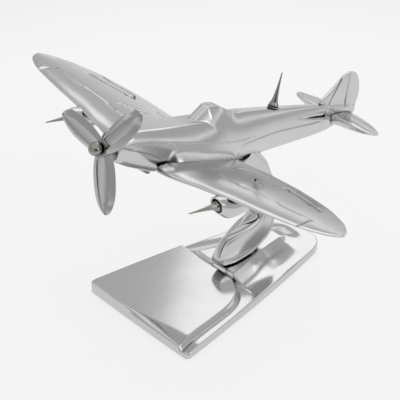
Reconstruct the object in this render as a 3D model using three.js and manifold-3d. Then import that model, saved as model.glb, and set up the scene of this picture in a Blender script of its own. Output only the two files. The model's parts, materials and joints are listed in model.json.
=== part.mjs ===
// Desk model of a single-engined, low-winged fighter aircraft, cast in aluminium and polished,
// flying nose-up on a crescent pylon above a sculpted base. The propeller spins on a stud.
// Millimetres, +Z up. The nose points along -Y and the port wing along +X. The origin is on the
// ground below the middle of the whole model.
import * as THREE from 'three';
import { mergeVertices } from 'three/addons/utils/BufferGeometryUtils.js';
import Module from 'manifold-3d';

// ---------- driving dimensions ----------
const HALF_SPAN = 200;
const NOSE_UP = THREE.MathUtils.degToRad(18.2);
const HUB_HEIGHT = 210.8;
const HUB_Y = -151.4;
const GAP = 0.3;
const ROUND_SIDES = 16;
const PROPELLER_RADIUS = 57;
const BLADE_WIDTH = 20;
const BLADE_THICKNESS = 2.8;
const BLADE_ANGLES = [38, 158, 278];
const BALL_RADIUS = 6.1;
const STUD_RADIUS = 1.5;
const RUNNING_GAP = 0.1;
const SPIKE_LENGTH = 33;
const SPIKE_RADIUS = 3.3;
const SPIKE_FLANGE_RADIUS = 4.6;
const SPIKE_SHANK = 8;
const DIHEDRAL_RISE = 0.097;
const WING_ROOT_Z = -17.7;
const POD_X = 95;
const BELLY_PLANE_Z = -10;
const BELLY_FRONT = 57.3;
const BELLY_REAR = 147;
const TAIL_SEAM = 280;
const TAILPLANE_Z = 8;
const BASE_LENGTH = 215;
const BASE_FRONT_HALF = 69;
const BASE_REAR_HALF = 30;
const BASE_FRONT_Y = -119;
const FELT_THICKNESS = 1;
const BLOCK_TOP = 17.5;
const PLATE_TOP = 13.4;
const LEDGE_TOP = 10;
const RISER_AT = 104;

const wasm = await Module();
wasm.setup();

// ---------- materials ----------
const metal = (color, roughness) => new THREE.MeshStandardMaterial({ color, roughness, metalness: 1 });
const polishedCasting = metal(0xc9c8c8, 0.22);
const satinCasting = metal(0xbdbcbc, 0.3);
const nickel = metal(0x8f8d89, 0.1);
const steel = metal(0x9a9a9c, 0.3);
const brass = metal(0xb08a45, 0.3);
const felt = new THREE.MeshStandardMaterial({ color: 0x2c2f30, roughness: 0.95, metalness: 0 });

// ---------- general helpers ----------

// Smooth curve through [place, value] knots, level beyond the first and last.
function profile(...knots) {
  const slope = (i) => {
    const before = knots[Math.max(i - 1, 0)];
    const after = knots[Math.min(i + 1, knots.length - 1)];
    return (after[1] - before[1]) / (after[0] - before[0]);
  };
  return (place) => {
    if (place <= knots[0][0]) return knots[0][1];
    const last = knots.length - 1;
    if (place >= knots[last][0]) return knots[last][1];
    const i = knots.findIndex((knot) => knot[0] > place) - 1;
    const width = knots[i + 1][0] - knots[i][0];
    const t = (place - knots[i][0]) / width;
    const start = knots[i][1] * (1 + 2 * t) * (1 - t) ** 2 + slope(i) * width * t * (1 - t) ** 2;
    return start + knots[i + 1][1] * t * t * (3 - 2 * t) - slope(i + 1) * width * t * t * (1 - t);
  };
}

const ramp = (value) => {
  const t = THREE.MathUtils.clamp(value, 0, 1);
  return t * t * (3 - 2 * t);
};

// Turns every face outwards and drops the empty triangles that points on an axis leave.
function tidy(geometry) {
  const bare = geometry.index ? geometry.clone() : mergeVertices(geometry);
  bare.deleteAttribute('normal');
  bare.deleteAttribute('uv');
  const merged = mergeVertices(bare, 1e-4);
  const place = merged.attributes.position;
  const corners = [0, 1, 2].map(() => new THREE.Vector3());
  const kept = [];
  let volume = 0;
  for (let i = 0; i < merged.index.count; i += 3) {
    const ids = [0, 1, 2].map((k) => merged.index.getX(i + k));
    if (new Set(ids).size === 3) {
      kept.push(...ids);
      ids.forEach((id, k) => corners[k].fromBufferAttribute(place, id));
      volume += corners[0].dot(corners[1].clone().cross(corners[2]));
    }
  }
  if (volume < 0) kept.reverse();
  merged.setIndex(kept);
  return merged;
}

// Closed skin over a row of rings with equal point counts, with a fan across each end.
function loft(rings) {
  const around = rings[0].length;
  const points = rings.flat();
  const faces = [];
  for (let r = 0; r + 1 < rings.length; r += 1) {
    for (let k = 0; k < around; k += 1) {
      const here = r * around + k;
      const beside = r * around + ((k + 1) % around);
      faces.push(here, beside, here + around, beside, beside + around, here + around);
    }
  }
  for (const [ring, flip] of [[0, true], [rings.length - 1, false]]) {
    const middle = points.length;
    const sum = rings[ring].reduce((total, p) => total.map((v, i) => v + p[i]), [0, 0, 0]);
    points.push(sum.map((v) => v / around));
    for (let k = 0; k < around; k += 1) {
      const here = ring * around + k;
      const beside = ring * around + ((k + 1) % around);
      faces.push(...(flip ? [middle, beside, here] : [middle, here, beside]));
    }
  }
  const geometry = new THREE.BufferGeometry();
  geometry.setAttribute('position', new THREE.Float32BufferAttribute(points.flat(), 3));
  geometry.setIndex(faces);
  return tidy(geometry);
}

function solid(geometry) {
  const clean = tidy(geometry);
  const vertProperties = new Float32Array(clean.attributes.position.array);
  const triVerts = new Uint32Array(clean.index.array);
  return new wasm.Manifold(new wasm.Mesh({ numProp: 3, vertProperties, triVerts }));
}

function skin(body) {
  const mesh = body.getMesh();
  const geometry = new THREE.BufferGeometry();
  geometry.setAttribute('position', new THREE.BufferAttribute(mesh.vertProperties, 3));
  geometry.setIndex(new THREE.BufferAttribute(mesh.triVerts, 1));
  return geometry;
}

const steps = (from, to, count) => Array.from({ length: count + 1 }, (_, i) => from + ((to - from) * i) / count);

// Round solid of revolution about Y from [radius, y] points.
const turned = (...points) => tidy(
  new THREE.LatheGeometry(points.map(([r, y]) => new THREE.Vector2(r, y)), ROUND_SIDES),
);

// Ring or disc about Y between two heights, bored when inner is above zero.
function collar(outer, inner, from, to) {
  if (inner <= 0) return turned([0, from], [outer, from], [outer, to], [0, to]);
  return turned([inner, from], [outer, from], [outer, to], [inner, to], [inner, from]);
}

// Rod about Z between two heights.
const post = (radius, from, to) => collar(radius, 0, from, to).rotateX(Math.PI / 2);

// Flat outline in the Y-Z plane, pushed across X by half on each side.
function prism(outline, half) {
  const shape = new THREE.Shape(outline.map(([y, z]) => new THREE.Vector2(y, z)));
  const plate = new THREE.ExtrudeGeometry(shape, { depth: 2 * half, bevelEnabled: false });
  plate.translate(0, 0, -half);
  plate.applyMatrix4(new THREE.Matrix4().makeBasis(
    new THREE.Vector3(0, 1, 0),
    new THREE.Vector3(0, 0, 1),
    new THREE.Vector3(1, 0, 0),
  ));
  return solid(plate);
}

function named(name, geometry, material) {
  const mesh = new THREE.Mesh(geometry, material);
  mesh.name = name;
  return mesh;
}

// ---------- fuselage: X across, Y aft of the propeller hub, Z up from the hub ----------
const bodyTop = profile(
  [7, 13], [15, 15.6], [26, 17.2], [40, 17.8], [84, 18], [97, 20.5], [104, 24], [110, 29.2], [118, 31.4],
  [127, 30.2], [138, 26], [148, 22.6], [160, 22.4], [195, 21.6], [244, 20], [300, 18], [326, 16],
);
const bodyBottom = profile(
  [7, -10.5], [15, -13.4], [25, -16.8], [40, -20.4], [60, -24.6], [90, -27.5], [150, -27.5], [193, -23.8],
  [255, -15], [288, -9], [300, -5], [326, 6],
);
const stripHalf = profile([7, 5], [20, 8.5], [84, 9], [110, 4.8], [127, 4.5], [145, 4], [283, 2], [326, 1]);
const chineHalf = profile(
  [7, 12.5], [15, 15], [40, 17.5], [60, 19.5], [90, 21], [120, 20], [155, 16], [205, 11], [272, 6], [326, 2],
);
const chineZ = profile([7, 2], [40, 3.5], [60, 1], [90, -2], [120, -5], [155, -6.5], [205, -0.3], [272, 3], [326, 10]);
const keelHalf = profile([7, 5], [40, 7], [100, 9], [150, 7], [200, 3], [283, 1.6], [326, 0.8]);
const flankRound = profile([7, 2.2], [60, 2.1], [105, 1.6], [150, 1.5], [326, 1.4]);
const bellyRound = profile([7, 2], [60, 2], [150, 1.4], [200, 1.15], [326, 1.15]);
const FLANK_STEPS = 4;

// Half section from the deck centre round the flank and the chine to the keel, then mirrored.
function bodyRing(y, grow = 0) {
  const half = [];
  const wide = chineHalf(y) + grow;
  for (const t of steps(0, Math.PI / 2, FLANK_STEPS)) {
    const out = Math.sin(t) ** (2 / flankRound(y));
    const up = Math.cos(t) ** (2 / flankRound(y));
    const rise = bodyTop(y) + grow - chineZ(y);
    half.push([stripHalf(y) + (wide - stripHalf(y)) * out, chineZ(y) + rise * up]);
  }
  for (const t of steps(0, Math.PI / 2, FLANK_STEPS).slice(1)) {
    const out = Math.cos(t) ** (2 / bellyRound(y));
    const down = Math.sin(t) ** (2 / bellyRound(y));
    const drop = chineZ(y) - bodyBottom(y) + grow;
    half.push([keelHalf(y) + (wide - keelHalf(y)) * out, chineZ(y) - drop * down]);
  }
  const port = half.map(([x, z]) => [x, y, z]);
  const starboard = half.map(([x, z]) => [-x, y, z]).reverse();
  return [...port, ...starboard];
}

const NOSE_STATIONS = [7, 10, 15, 22, 30, 40, 50, 60, 72, 79, 85, 91, 95, 99, 103, 107, 113, 120, 128, 137];
const AFT_STATIONS = [147, 158, 172, 188, 205, 225, 250, 270];
const bodyLoft = (grow = 0) => solid(
  loft([...NOSE_STATIONS, ...AFT_STATIONS, TAIL_SEAM - GAP].map((y) => bodyRing(y, grow))),
);

// ---------- wing ----------
const leadingY = profile(
  [0, 58], [13, 54], [22, 46], [40, 46], [64, 51], [82, 53.5], [102, 57], [133, 60], [153, 62.7], [170, 65.5], [181, 69],
  [191, 74], [197, 79], [HALF_SPAN, 86],
);
const trailingY = profile(
  [0, 141], [28, 142], [45, 144], [60, 145.5], [76, 144], [107, 139.6], [133, 133], [153, 126.6],
  [170, 118], [181, 111.5], [191, 102], [197, 94], [HALF_SPAN, 88],
);
const wingThick = profile([0, 12], [30, 11], [60, 8.5], [100, 6.8], [150, 4.6], [190, 2.6], [HALF_SPAN, 1.6]);
const wingZ = (x) => WING_ROOT_Z + DIHEDRAL_RISE * Math.abs(x);
const WING_STATIONS = [0, 14, 22, 30, 40, 52, 66, 82, 100, 120, 140, 158, 172, 183, 191, 196.5, HALF_SPAN];
const CHORD_STEPS = 6;
const EDGE_THICKNESS = 1.2;

// Symmetric aerofoil height at a share of the chord, for a greatest thickness of one.
const aerofoil = (u) => 5 * (0.2969 * Math.sqrt(u) - 0.126 * u - 0.3516 * u * u + 0.2843 * u ** 3 - 0.1015 * u ** 4);

function foilRing(lead, trail, thick, place) {
  const upper = [];
  const lower = [];
  for (const t of steps(0, Math.PI, CHORD_STEPS)) {
    const u = (1 - Math.cos(t)) / 2;
    const high = thick * aerofoil(u) + (EDGE_THICKNESS / 2) * u;
    const along = lead + (trail - lead) * u;
    upper.push(place(along, high));
    if (u > 0) lower.push(place(along, -high));
  }
  return [...upper, ...lower.reverse()];
}

function wingLoft(grow = 0) {
  const spots = [...WING_STATIONS.slice(1).map((x) => -x).reverse(), ...WING_STATIONS];
  return solid(loft(spots.map((x) => {
    const out = Math.abs(x);
    const place = (y, z) => [x, y, wingZ(x) + z];
    return foilRing(leadingY(out) - grow, trailingY(out) + grow, wingThick(out) + 2 * grow, place);
  })));
}

// Round fairing under each wing that carries a gun barrel in its open mouth.
const POD_MOUTH_Y = 50;
const POD_TAIL_Y = 116;
const podRadius = profile([POD_MOUTH_Y, 7.8], [56, 9.4], [64, 10.2], [76, 9.6], [90, 7.2], [104, 4], [POD_TAIL_Y, 0.8]);
const podZ = profile([POD_MOUTH_Y, -15.6], [64, -17.6], [80, -15.5], [104, -10], [POD_TAIL_Y, -8.5]);

function pod(side) {
  const rings = steps(POD_MOUTH_Y, POD_TAIL_Y, 8).map((y) => steps(0, 2 * Math.PI, 12).slice(1).map((t) => [
    side * POD_X + podRadius(y) * Math.cos(t),
    y,
    podZ(y) + podRadius(y) * Math.sin(t),
  ]));
  return solid(loft(rings));
}

// ---------- places of the fasteners in the airframe ----------
const SEAM = [[0, 6.6], [7, 5.4], [16, 3.4], [30, 0.4], [40, -2.2], [50, -6]];
const COWL_REAR = 57;
const BOSS_RADIUS = 6;
const BOSS_REAR = 36;
const STUD_REAR = 30;
const SCREW_RADIUS = 2;
const SCREW_HEAD_RADIUS = 3.6;
const WING_SCREWS = { wing_screw_front: 76, wing_screw_rear: 118 };
const COWL_SCREW_Y = 40;
const PYLON_STUDS = { pylon_stud_front: 161, pylon_stud_rear: 176 };
const PYLON_STUD_BOTTOM = -36;
const PYLON_STUD_TOP = -14;
const MAST_Y = 205.5;
const MAST_Z = 22;
const TAIL_DOWELS = { tail_dowel_upper: 12, tail_dowel_lower: -2 };
const DOWEL_RADIUS = 1.5;
const DOWEL_REACH = 9;
const BARREL_DROOP = THREE.MathUtils.degToRad(6);
const BARREL_Z = -15.4;
const CHIN_FRONT = 47;
const CHIN_REAR = 56.6;

const cowlRegion = (grow) => prism([
  ...SEAM.map(([y, z]) => [y, z + grow]),
  [COWL_REAR + grow, -10 + grow],
  [COWL_REAR + grow, -40],
  [0, -40],
], 30);
const bellyRegion = (grow) => prism([
  [BELLY_FRONT - grow, -40],
  [BELLY_FRONT - grow, BELLY_PLANE_Z + grow],
  [BELLY_REAR + grow, BELLY_PLANE_Z + grow],
  [BELLY_REAR + grow, -40],
], 30);
const nosePlug = (radius, rear) => solid(collar(radius, 0, 0, rear));
const body = bodyLoft();
const wingClear = wingLoft(GAP);

// Countersunk screw with its axis on Z, its head at the bottom.
function screw(bottom, top) {
  return turned(
    [0, bottom],
    [SCREW_HEAD_RADIUS, bottom],
    [SCREW_HEAD_RADIUS, bottom + 1],
    [SCREW_RADIUS, bottom + 1 + SCREW_HEAD_RADIUS - SCREW_RADIUS],
    [SCREW_RADIUS, top],
    [0, top],
  ).rotateX(Math.PI / 2);
}

// Clearance for such a screw, open at the bottom.
function screwHole(y, bottom, top) {
  const shank = solid(post(SCREW_RADIUS + GAP, bottom - 1, top + GAP));
  const head = solid(post(SCREW_HEAD_RADIUS + GAP, bottom - 4, bottom + 1 + GAP));
  const cone = solid(turned(
    [0, bottom + 1],
    [SCREW_HEAD_RADIUS + GAP, bottom + 1],
    [SCREW_RADIUS + GAP, bottom + 1 + GAP + SCREW_HEAD_RADIUS - SCREW_RADIUS],
    [0, bottom + 1 + GAP + SCREW_HEAD_RADIUS - SCREW_RADIUS],
  ).rotateX(Math.PI / 2));
  return shank.add(head).add(cone).translate([0, y, 0]);
}

const screwBottom = (y) => bodyBottom(y) + 0.4;
const WING_SCREW_TOP = 4;
const COWL_SCREW_TOP = 5;

// Root fillet: a concave fairing from the flank down on to the wing.
const FILLET_STATIONS = [54, 62, 80, 105, 130, 142, 152, 162];
const filletReach = profile([54, 2], [70, 7], [100, 8], [130, 8], [148, 6], [162, 1]);
const FILLET_HIGH = 1;

function fillet(side) {
  const rings = FILLET_STATIONS.map((y) => {
    const inner = chineHalf(y) - 5;
    const flank = chineHalf(y) - 0.6;
    const toe = flank + filletReach(y);
    const low = wingZ(toe) + 1;
    const arc = steps(0, Math.PI / 2, 4).map((t) => [
      flank + (toe - flank) * (1 - Math.cos(t)),
      low + (FILLET_HIGH - low) * (1 - Math.sin(t)),
    ]);
    return [[inner, FILLET_HIGH], ...arc, [inner, low]].map(([x, z]) => [side * x, y, z]);
  });
  return solid(loft(rings));
}

function fuselageCasting() {
  let casting = body.add(fillet(1)).add(fillet(-1));
  casting = casting.subtract(cowlRegion(GAP)).add(body.intersect(nosePlug(BOSS_RADIUS, BOSS_REAR)));
  casting = casting.subtract(bellyRegion(GAP)).subtract(wingClear);
  casting = casting.subtract(solid(collar(STUD_RADIUS + GAP, 0, 0, STUD_REAR + GAP)));
  for (const y of Object.values(WING_SCREWS)) {
    casting = casting.subtract(screwHole(y, screwBottom(y), WING_SCREW_TOP));
  }
  casting = casting.subtract(screwHole(COWL_SCREW_Y, screwBottom(COWL_SCREW_Y), COWL_SCREW_TOP));
  const mastHole = solid(post(STUD_RADIUS + GAP, MAST_Z - SPIKE_SHANK - GAP, MAST_Z + 4));
  casting = casting.subtract(mastHole.translate([0, MAST_Y, 0]));
  casting = casting.subtract(solid(post(SPIKE_FLANGE_RADIUS + 1, MAST_Z - GAP, MAST_Z + 4)).translate([0, MAST_Y, 0]));
  for (const y of Object.values(PYLON_STUDS)) {
    const hole = solid(post(STUD_RADIUS + GAP, PYLON_STUD_BOTTOM, PYLON_STUD_TOP + GAP));
    casting = casting.subtract(hole.translate([0, y, 0]));
  }
  for (const z of Object.values(TAIL_DOWELS)) casting = casting.subtract(dowelHole(z));
  return casting.subtract(finLoft(GAP));
}

function lowerCowl() {
  return body.intersect(cowlRegion(0))
    .subtract(nosePlug(BOSS_RADIUS + GAP, BOSS_REAR + GAP))
    .subtract(wingClear)
    .subtract(screwHole(COWL_SCREW_Y, screwBottom(COWL_SCREW_Y), COWL_SCREW_TOP))
    .subtract(chinClear());
}

// Small air scoop hanging under the cowl's rear edge.
function chinIntake() {
  const width = profile([CHIN_FRONT, 3], [50, 6], [CHIN_REAR, 7]);
  const high = (y) => bodyBottom(y) + 2.4;
  const rings = steps(CHIN_FRONT, CHIN_REAR, 4).map((y) => steps(0, 2 * Math.PI, 14).slice(1).map((t) => [
    width(y) * Math.cos(t),
    y,
    high(y) - 1.5 + (3.4 + (y - CHIN_FRONT) * 0.2) * Math.sin(t) - (y - CHIN_FRONT) * 0.1,
  ]));
  return solid(loft(rings));
}

function chinClear() {
  const outline = chinIntake();
  return outline.add(outline.translate([0, GAP, GAP])).add(outline.translate([0, -GAP, GAP]))
    .add(outline.translate([GAP, 0, GAP])).add(outline.translate([-GAP, 0, GAP]));
}

function wingCasting() {
  let casting = wingLoft().add(body.intersect(bellyRegion(0))).add(pod(1)).add(pod(-1));
  for (const y of Object.values(WING_SCREWS)) {
    casting = casting.subtract(screwHole(y, screwBottom(y), WING_SCREW_TOP));
  }
  for (const side of [1, -1]) {
    const bore = solid(collar(STUD_RADIUS + GAP, 0, -2, SPIKE_SHANK + 2)).add(
      solid(collar(SPIKE_FLANGE_RADIUS + 1.4, 0, -6, 2)),
    );
    const placed = bore.rotate([THREE.MathUtils.radToDeg(BARREL_DROOP), 0, 0]);
    casting = casting.subtract(placed.translate([side * POD_X, POD_MOUTH_Y + 1, BARREL_Z]));
  }
  return casting;
}

// ---------- tail: fin, rudder, tailplane and the cone behind the seam ----------
const finLead = profile([4, 292], [20, 272], [25, 274], [33, 282.5], [42, 291], [48, 297], [50.6, 304]);
const finTrail = profile([4, 318], [11.5, 325], [20, 327.4], [27, 327.4], [36, 325], [44.5, 320], [49, 315.5], [50.6, 312]);
const tailLead = profile([0, 289], [14, 291], [30, 292], [42, 293.5], [49, 296.5], [52.5, 301]);
const tailTrail = profile([0, 322], [20, 320], [35, 316], [44, 311.5], [50, 308], [52.5, 305.5]);
const tailDeep = profile([0, 13], [20, 10.5], [30, 8.5], [40, 6], [52.5, 2]);
const TAIL_UPPER_SHARE = 0.24;
const FIN_HEIGHTS = [4, 14, 20, 25, 33, 42, 48, 50.6];
const TAILPLANE_STATIONS = [0, 10, 22, 34, 44, 50, 52.5];

function finLoft(grow = 0) {
  return solid(loft(FIN_HEIGHTS.map((z) => {
    const thick = 5.6 - 0.05 * z + 2 * grow;
    return foilRing(finLead(z) - grow, finTrail(z) + grow, thick, (y, x) => [x, y, z]);
  })));
}

function tailplaneLoft() {
  const spots = [...TAILPLANE_STATIONS.slice(1).map((x) => -x).reverse(), ...TAILPLANE_STATIONS];
  return solid(loft(spots.map((x) => {
    const out = Math.abs(x);
    const place = (y, z) => [x, y, TAILPLANE_Z + 2 * z * (z > 0 ? TAIL_UPPER_SHARE : 1 - TAIL_UPPER_SHARE)];
    return foilRing(tailLead(out), tailTrail(out), tailDeep(out), place);
  })));
}

function dowelHole(z) {
  const hole = solid(collar(DOWEL_RADIUS + GAP, 0, -DOWEL_REACH - GAP, DOWEL_REACH + GAP));
  return hole.translate([0, TAIL_SEAM, z]);
}

function tailCasting() {
  const cone = solid(loft([TAIL_SEAM, 288, 298, 310, 320, 326].map((y) => bodyRing(y))));
  let casting = cone.add(finLoft()).add(tailplaneLoft());
  for (const z of Object.values(TAIL_DOWELS)) casting = casting.subtract(dowelHole(z));
  return casting;
}

// ---------- propeller: axis on Y, front towards -Y ----------
const HUB_RADIUS = 7.4;
const HUB_FRONT = -2.4;
const HUB_REAR = 3.4;
const BUSH_RADIUS = 2.9;
const BLADE_PITCH = THREE.MathUtils.degToRad(-9);
const BLADE_STATIONS = [3, 9, 16, 24, 32, 40, 47, 52, 55.2, PROPELLER_RADIUS];
const bladeShare = profile([3, 0.42], [9, 0.54], [20, 0.84], [32, 1], [44, 0.86], [52, 0.56], [PROPELLER_RADIUS, 0.12]);

function blade(angle) {
  const rings = BLADE_STATIONS.map((r) => {
    const pitch = BLADE_PITCH * (1.25 - (0.5 * r) / PROPELLER_RADIUS);
    const half = (BLADE_WIDTH / 2) * bladeShare(r);
    return steps(0, 2 * Math.PI, 10).slice(1).map((t) => {
      const across = half * Math.cos(t);
      const deep = (BLADE_THICKNESS / 2) * Math.sin(t) * (0.5 + bladeShare(r) / 2);
      return [
        across * Math.cos(pitch) - deep * Math.sin(pitch),
        across * Math.sin(pitch) + deep * Math.cos(pitch),
        r,
      ];
    });
  });
  return solid(loft(rings)).rotate([0, angle, 0]);
}

function propellerCasting() {
  let casting = solid(turned(
    [0, HUB_FRONT],
    [HUB_RADIUS - 1.2, HUB_FRONT],
    [HUB_RADIUS, HUB_FRONT + 1.2],
    [HUB_RADIUS, HUB_REAR],
    [0, HUB_REAR],
  ));
  for (const angle of BLADE_ANGLES) casting = casting.add(blade(angle));
  return casting.subtract(solid(collar(BUSH_RADIUS + GAP, 0, HUB_FRONT - 4, HUB_REAR + 4)));
}

// ---------- spike with a flange and a threaded shank: axis on Y, tip towards -Y, flange at 0 ----------
const spike = () => turned(
  [0, -SPIKE_LENGTH],
  [0.5, -SPIKE_LENGTH + 0.3],
  [SPIKE_RADIUS * 0.55, -SPIKE_LENGTH * 0.5],
  [SPIKE_RADIUS, -4],
  [SPIKE_FLANGE_RADIUS, -1.2],
  [SPIKE_FLANGE_RADIUS, 0],
  [STUD_RADIUS, 0],
  [STUD_RADIUS, SPIKE_SHANK],
  [0, SPIKE_SHANK],
);
const COLLAR_THICKNESS = 1;
const spikeCollar = () => collar(SPIKE_FLANGE_RADIUS + 0.8, STUD_RADIUS + GAP, GAP, GAP + COLLAR_THICKNESS);

// ---------- base: X across, Y aft of the front edge, Z up from the ground ----------
function baseOutline(inset) {
  const front = BASE_FRONT_HALF - inset;
  const rear = BASE_REAR_HALF - inset;
  const long = BASE_LENGTH - inset;
  const outline = new THREE.Shape();
  outline.moveTo(-front + 5, inset);
  outline.quadraticCurveTo(0, inset - 1.2, front - 5, inset);
  outline.quadraticCurveTo(front, inset, front - 0.4, inset + 5);
  outline.quadraticCurveTo((front + rear) / 2 + 5, long * 0.52, rear + 5, long - 19);
  outline.quadraticCurveTo(rear, long, rear - 15, long);
  outline.lineTo(-rear + 15, long);
  outline.quadraticCurveTo(-rear, long, -rear - 5, long - 19);
  outline.quadraticCurveTo(-(front + rear) / 2 - 5, long * 0.52, -front + 0.4, inset + 5);
  outline.quadraticCurveTo(-front, inset, -front + 5, inset);
  return outline;
}

// Port border of the raised front plate: it runs beside the port edge, then sweeps inwards.
const swooshX = profile([0, 60], [24, 55.5], [55, 51.5], [72, 48.5], [86, 42.5], [96, 33], [RISER_AT, 20], [112, 14]);
const blockPort = profile([RISER_AT, 18], [125, 14], [150, 10], [180, 7], [BASE_LENGTH, 6]);
const blockStarboard = profile([RISER_AT, 31], [125, 22], [150, 12], [180, 7], [BASE_LENGTH, 6]);
const SLOPE_RUN = 17;
const BLOCK_END = 178;

function topHeight(x, y) {
  const plate = (PLATE_TOP - LEDGE_TOP) * ramp((swooshX(y) - x) / 5) * ramp((RISER_AT - y) / 2 + 0.5);
  const beyond = x > 0 ? x - blockPort(y) : -x - blockStarboard(y);
  const flank = 1 - ramp(beyond / SLOPE_RUN);
  const along = ramp((y - RISER_AT) / 2 + 0.5) * (1 - ramp((y - BLOCK_END) / 30));
  return LEDGE_TOP + plate + (BLOCK_TOP - LEDGE_TOP) * flank * along;
}

const RIM_POINTS = 80;
const BASE_BOTTOM = FELT_THICKNESS + GAP;
const BASE_MIDDLE_Y = 118;

function baseSolid() {
  const outline = baseOutline(0).getSpacedPoints(RIM_POINTS).slice(0, RIM_POINTS);
  const ring = (share, height) => outline.map((p) => {
    const x = p.x * share;
    const y = BASE_MIDDLE_Y + (p.y - BASE_MIDDLE_Y) * share;
    return [x, y, height(x, y)];
  });
  const rings = [
    ring(0.995, () => BASE_BOTTOM),
    ring(1, () => BASE_BOTTOM + 1),
    ring(1, (x, y) => topHeight(x, y) - 1.5),
    ring(0.99, topHeight),
    ...[0.94, 0.86, 0.77, 0.66, 0.54, 0.42, 0.3, 0.18].map((share) => ring(share, topHeight)),
  ];
  return solid(loft(rings));
}

const BASE_SCREWS = { front: 122, rear: 152 };
const BASE_SCREW_TOP = 30;
const WASHER_RADIUS = 5;
const WASHER_TOP = 6;
const BASE_SCREW_RECESS = 6.3;

function baseCasting() {
  let casting = baseSolid();
  for (const y of Object.values(BASE_SCREWS)) {
    const shank = solid(post(SCREW_RADIUS + GAP, 0, BASE_SCREW_TOP)).translate([0, y, 0]);
    const recess = solid(post(WASHER_RADIUS + 0.5, 0, BASE_SCREW_RECESS)).translate([0, y, 0]);
    casting = casting.subtract(shank).subtract(recess);
  }
  return casting;
}

const panScrew = () => turned(
  [0, 2.2],
  [SCREW_HEAD_RADIUS, 2.2],
  [SCREW_HEAD_RADIUS, 4.7],
  [SCREW_RADIUS, 4.7],
  [SCREW_RADIUS, BASE_SCREW_TOP],
  [0, BASE_SCREW_TOP],
).rotateX(Math.PI / 2);

function baseFelt() {
  return new THREE.ExtrudeGeometry(baseOutline(3), { depth: FELT_THICKNESS, bevelEnabled: false, curveSegments: 8 });
}

// ---------- pylon: a crescent from the base's block to the belly; Y and Z as for the base ----------
const PYLON_SECTIONS = [
  { front: [97, 17.8], rear: [171, 17.8], half: 9 },
  { front: [101, 29], rear: [178.6, 30], half: 10 },
  { front: [110, 38], rear: [180, 42], half: 10.5 },
  { front: [123.5, 44.5], rear: [179.5, 55], half: 10.5 },
  { front: [137.5, 49.5], rear: [177.5, 67], half: 10.2 },
  { front: [147.5, 56], rear: [174, 80], half: 9.8 },
  { front: [151, 68], rear: [170.5, 91], half: 9.2 },
  { front: [149, 82], rear: [167, 100], half: 8.8 },
  { front: [142.5, 97], rear: [162, 113], half: 8.4 },
  { front: [132.5, 111], rear: [154.5, 124], half: 8.2 },
  { front: [120, 125], rear: [143, 138], half: 8 },
];
const LENS_STEPS = 7;

function pylonLoft() {
  const at = (key, index) => profile(...PYLON_SECTIONS.map((section, i) => [i, [section[key]].flat()[index]]));
  const [frontY, frontZ] = [at('front', 0), at('front', 1)];
  const [rearY, rearZ] = [at('rear', 0), at('rear', 1)];
  const half = at('half', 0);
  const rings = steps(0, PYLON_SECTIONS.length - 1, 15).map((i) => steps(0, 2 * Math.PI, 2 * LENS_STEPS).slice(1)
    .map((t) => {
      const share = (1 - Math.cos(t)) / 2;
      const bulge = Math.sign(Math.sin(t)) * Math.abs(Math.sin(t)) ** 0.8;
      return [
        half(i) * bulge,
        frontY(i) + (rearY(i) - frontY(i)) * share,
        frontZ(i) + (rearZ(i) - frontZ(i)) * share,
      ];
    }));
  return solid(loft(rings));
}

// ---------- assembly ----------
const airframe = new THREE.Group();
airframe.rotation.x = -NOSE_UP;
airframe.position.set(0, HUB_Y, HUB_HEIGHT);
const stand = new THREE.Group();
stand.position.y = BASE_FRONT_Y;
const model = new THREE.Group();
model.add(airframe, stand);
model.updateMatrixWorld(true);

// The pylon is shaped in the stand's frame and cut to the belly above it.
function pylonCasting() {
  const toStand = stand.matrixWorld.clone().invert().multiply(airframe.matrixWorld);
  const belly = bodyLoft(GAP).add(wingClear).transform(toStand.elements);
  let casting = pylonLoft().subtract(belly);
  const parts = casting.decompose();
  casting = parts.reduce((lowest, part) => (part.boundingBox().min[2] < lowest.boundingBox().min[2] ? part : lowest));
  for (const y of Object.values(BASE_SCREWS)) {
    casting = casting.subtract(solid(post(SCREW_RADIUS + GAP, 10, BASE_SCREW_TOP + GAP)).translate([0, y, 0]));
  }
  for (const y of Object.values(PYLON_STUDS)) {
    const hole = solid(post(STUD_RADIUS + GAP, PYLON_STUD_BOTTOM - GAP, PYLON_STUD_TOP)).translate([0, y, 0]);
    casting = casting.subtract(hole.transform(toStand.elements));
  }
  return casting;
}

airframe.add(named('fuselage_casting', skin(fuselageCasting()), polishedCasting));
airframe.add(named('lower_cowl_casting', skin(lowerCowl()), polishedCasting));
airframe.add(named('chin_intake', skin(chinIntake()), satinCasting));
airframe.add(named('wing_casting', skin(wingCasting()), polishedCasting));
airframe.add(named('tail_casting', skin(tailCasting()), polishedCasting));

for (const [name, y] of Object.entries(WING_SCREWS)) {
  const fastener = named(name, screw(screwBottom(y), WING_SCREW_TOP), steel);
  fastener.position.y = y;
  airframe.add(fastener);
}
const cowlScrew = named('cowl_screw', screw(screwBottom(COWL_SCREW_Y), COWL_SCREW_TOP), steel);
cowlScrew.position.y = COWL_SCREW_Y;
airframe.add(cowlScrew);

for (const [name, y] of Object.entries(PYLON_STUDS)) {
  const stud = named(name, post(STUD_RADIUS, PYLON_STUD_BOTTOM, PYLON_STUD_TOP), steel);
  stud.position.y = y;
  airframe.add(stud);
}
for (const [name, z] of Object.entries(TAIL_DOWELS)) {
  const dowel = named(name, collar(DOWEL_RADIUS, 0, -DOWEL_REACH, DOWEL_REACH), steel);
  dowel.position.set(0, TAIL_SEAM, z);
  airframe.add(dowel);
}

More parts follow.
